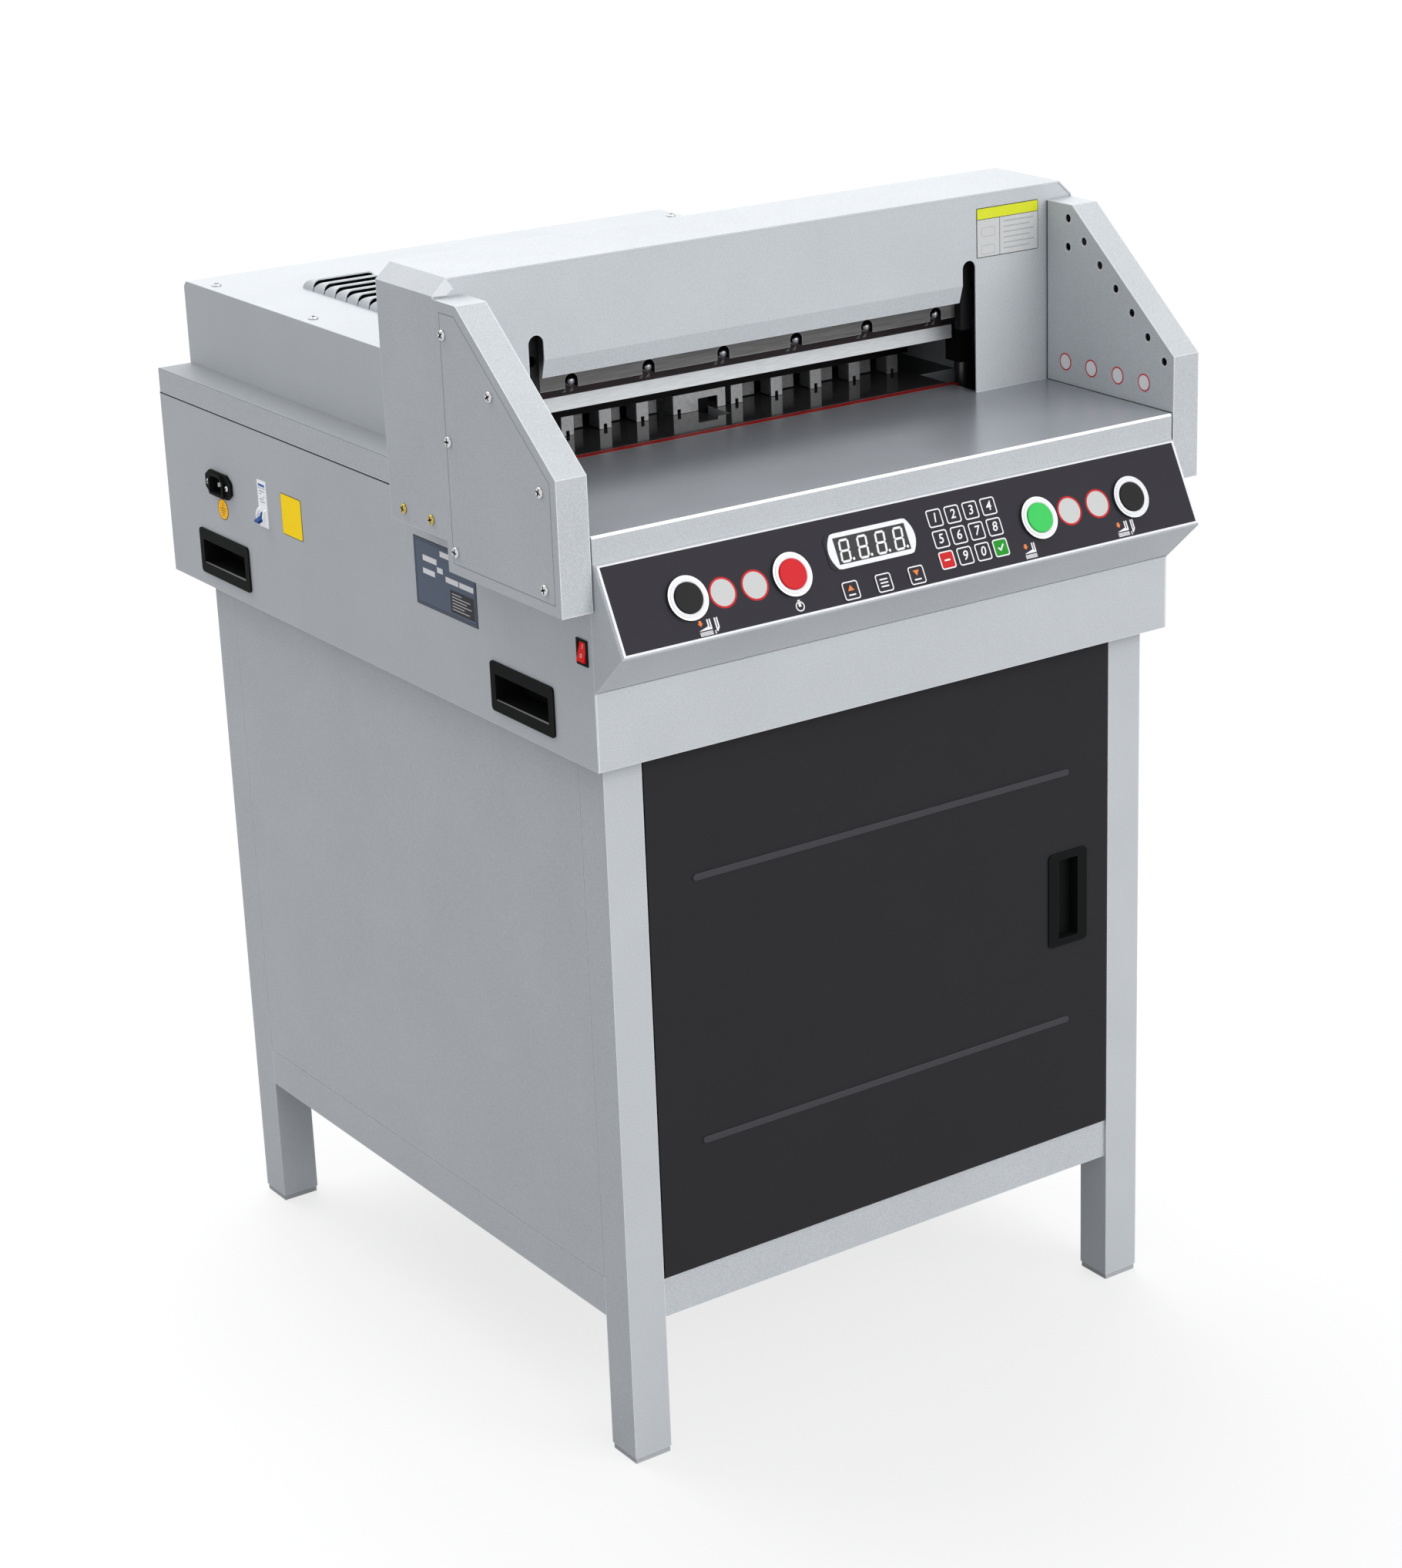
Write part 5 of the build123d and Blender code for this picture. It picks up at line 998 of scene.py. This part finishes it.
def screws(name, node, look, radius):
    """Detailed heads in place of a node of plain screws, each turned a little further."""
    mesh = bmesh.new()
    rise = screw_height * MM
    for k, (low, high) in enumerate(islands(node)):
        centre = (low + high) / 2
        turn = Matrix.Rotation(turn_step * k + first_turn, 4, "Z")
        if high.z > hood_screw_z and high.y > 0:
            top = Matrix.Translation((centre.x, centre.y, high.z - rise))
        elif centre.x < 0:
            top = Matrix.Translation((low.x + rise, centre.y, centre.z)) @ facing(-1)
        else:
            top = Matrix.Translation((high.x - rise, centre.y, centre.z)) @ facing(1)
        screw_head(mesh, top @ turn @ Matrix.Scale(MM, 4), radius, screw_height)
    made = screw_piece(name, mesh, look)
    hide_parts(node)


screws("cover_screws", "panel_screws", "screw", 5.0)
screws("brass_cross_screws", "column_screws", "brass", 4.7)


# Inlet: raised rim round the socket and its two screws

def socket_loop(width, height, cut, low_cut):
    """Rectangle whose upper corners are cut, and whose lower ones are cut a little."""
    x, y = width / 2, height / 2
    return [(-x, -y + low_cut), (-x + low_cut, -y), (x - low_cut, -y), (x, -y + low_cut),
            (x, y - cut), (x - cut, y), (-x + cut, y), (-x, y - cut)]


socket_rim, socket_hole, socket_height = (31.0, 22.6, 6.5, 1.6), (25.6, 17.6, 4.6, 0.6), 3.0
inlet = Drawing("inlet_trim", left_face(inlet_x, inlet_y, inlet_z))
inlet.ring("plastic", socket_loop(*socket_rim), socket_loop(*socket_hole), 0, socket_height)
inlet.close("black_plastic")

ear_reach, ear_radius, ear_height = 20.0, 2.9, 1.5
ears = bmesh.new()
for y in (inlet_y - ear_reach, inlet_y + ear_reach):
    place = Matrix.Translation((inlet_x * MM, y * MM, inlet_z * MM)) @ facing(-1)
    # The place serves as the angle too, so that the two recesses differ
    screw_head(ears, place @ Matrix.Rotation(y, 4, "Z") @ Matrix.Scale(MM, 4), ear_radius, ear_height)
screw_piece("inlet_screws", ears, "screw")


# Folded corner where the head's front meets its sloping edge, from the cover's upper left corner; a flat
# plate in a lighter grey that is painted highlight

fold_outline = [(14.5, -0.2), (-0.3, -14.4), (14.3, -15.0), (19.1, -11.0), (21.7, -10.8)]
corner = bmesh.new()
front_row, rear_row = [[corner.verts.new(((head_left_x + x) * MM, y * MM, (head_top_z + z) * MM))
                        for x, z in fold_outline] for y in (head_front_y - 0.8, head_front_y + 0.3)]
corner.faces.new(front_row)
corner.faces.new(rear_row[::-1])
wall(corner, rear_row, front_row)
piece("head_corner", outward(corner), "fold", "machine")


# Camera at the photograph's place: metres and degrees. Its shift comes from two pixel columns

camera_place = (-1.80368, -2.78169, 1.71025)
yaw, pitch, roll = (math.radians(d) for d in (36.70086, 20.07295, -1.06949))
camera_lens, camera_sensor = 79.387, 36
picture_middle, optical_middle, picture_height = 910, 1150, 2035

ahead = Vector((math.sin(yaw) * math.cos(pitch), math.cos(yaw) * math.cos(pitch), -math.sin(pitch)))
across = Vector((math.cos(yaw), -math.sin(yaw), 0))
above = across.cross(ahead)
tilted = across * math.cos(roll) + above * math.sin(roll)
upright = above * math.cos(roll) - across * math.sin(roll)
camera = new_object("camera", bpy.data.cameras.new("camera"))
turn = Matrix((tilted, upright, -ahead)).transposed().to_4x4()
camera.matrix_world = Matrix.Translation(camera_place) @ turn
camera.data.lens = camera_lens
camera.data.sensor_width = camera_sensor
camera.data.shift_x = (picture_middle - optical_middle) / picture_height
bpy.context.scene.camera = camera


# Floor and sky: white to the camera and in reflections, and duller as a light on the object

def either_ray(tree, names):
    """Output that is 1 for the named kinds of ray."""
    rays = tree.nodes.new("ShaderNodeLightPath")
    result = rays.outputs[names[0]]
    for name in names[1:]:
        larger = tree.nodes.new("ShaderNodeMath")
        larger.operation = "MAXIMUM"
        tree.links.new(result, larger.inputs[0])
        tree.links.new(rays.outputs[name], larger.inputs[1])
        result = larger.outputs["Value"]
    return result


def mixed(tree, first, second):
    """Mix node of two shader outputs."""
    mix = tree.nodes.new("ShaderNodeMixShader")
    tree.links.new(first, mix.inputs[1])
    tree.links.new(second, mix.inputs[2])
    return mix


floor_reach, shadow_share = 20, 0.26
floor_mesh = bmesh.new()
bmesh.ops.create_grid(floor_mesh, x_segments=1, y_segments=1, size=floor_reach)
floor_data = bpy.data.meshes.new("floor")
floor_mesh.to_mesh(floor_data)
floor_mesh.free()
floor = new_object("floor", floor_data)
ground = bpy.data.materials.new("floor")
ground.use_nodes = True
tree = ground.node_tree
shaded = first_of(tree, "BSDF_PRINCIPLED")
shaded.inputs["Base Color"].default_value = (0.9, 0.9, 0.9, 1)
shaded.inputs["Roughness"].default_value = 0.9
shaded.inputs["Specular IOR Level"].default_value = 0.0
duller = tree.nodes.new("ShaderNodeBsdfDiffuse")
duller.inputs["Color"].default_value = (0.35, 0.35, 0.36, 1)
lit = tree.nodes.new("ShaderNodeEmission")
lit.inputs["Color"].default_value = (1, 1, 1, 1)
lit.inputs["Strength"].default_value = 1.0
seen_floor = mixed(tree, lit.outputs["Emission"], shaded.outputs["BSDF"])
seen_floor.inputs["Fac"].default_value = shadow_share
whole_floor = mixed(tree, duller.outputs["BSDF"], seen_floor.outputs["Shader"])
tree.links.new(either_ray(tree, ("Is Camera Ray", "Is Glossy Ray")), whole_floor.inputs["Fac"])
tree.links.new(whole_floor.outputs["Shader"], first_of(tree, "OUTPUT_MATERIAL").inputs["Surface"])
floor_data.materials.append(ground)

world = bpy.data.worlds.new("studio")
world.use_nodes = True
bpy.context.scene.world = world
tree = world.node_tree
sky_light = first_of(tree, "BACKGROUND")
sky_light.inputs["Color"].default_value = (0.94, 0.955, 1.0, 1)
sky_light.inputs["Strength"].default_value = 0.53
seen_sky = tree.nodes.new("ShaderNodeBackground")
seen_sky.inputs["Color"].default_value = (1, 1, 1, 1)
seen_sky.inputs["Strength"].default_value = 1.0
whole_sky = mixed(tree, sky_light.outputs["Background"], seen_sky.outputs["Background"])
clear_rays = ("Is Camera Ray", "Is Glossy Ray", "Is Transmission Ray")
tree.links.new(either_ray(tree, clear_rays), whole_sky.inputs["Fac"])
tree.links.new(whole_sky.outputs["Shader"], first_of(tree, "OUTPUT_WORLD").inputs["Surface"])


# Lamps: strength, spread in degrees and the way to each

lamps = (("softbox_top", 2.4, 60, (0.1, 0.6, 0.79)), ("softbox_front", 1.5, 50, (0.3, -0.88, 0.36)))
for name, energy, spread, way in lamps:
    lamp = new_object(name, bpy.data.lights.new(name, "SUN"))
    lamp.data.energy = energy
    lamp.data.angle = math.radians(spread)
    lamp.rotation_mode = "QUATERNION"
    lamp.rotation_quaternion = Vector(way).to_track_quat("Z", "Y")

bpy.context.scene.view_settings.view_transform = "Standard"
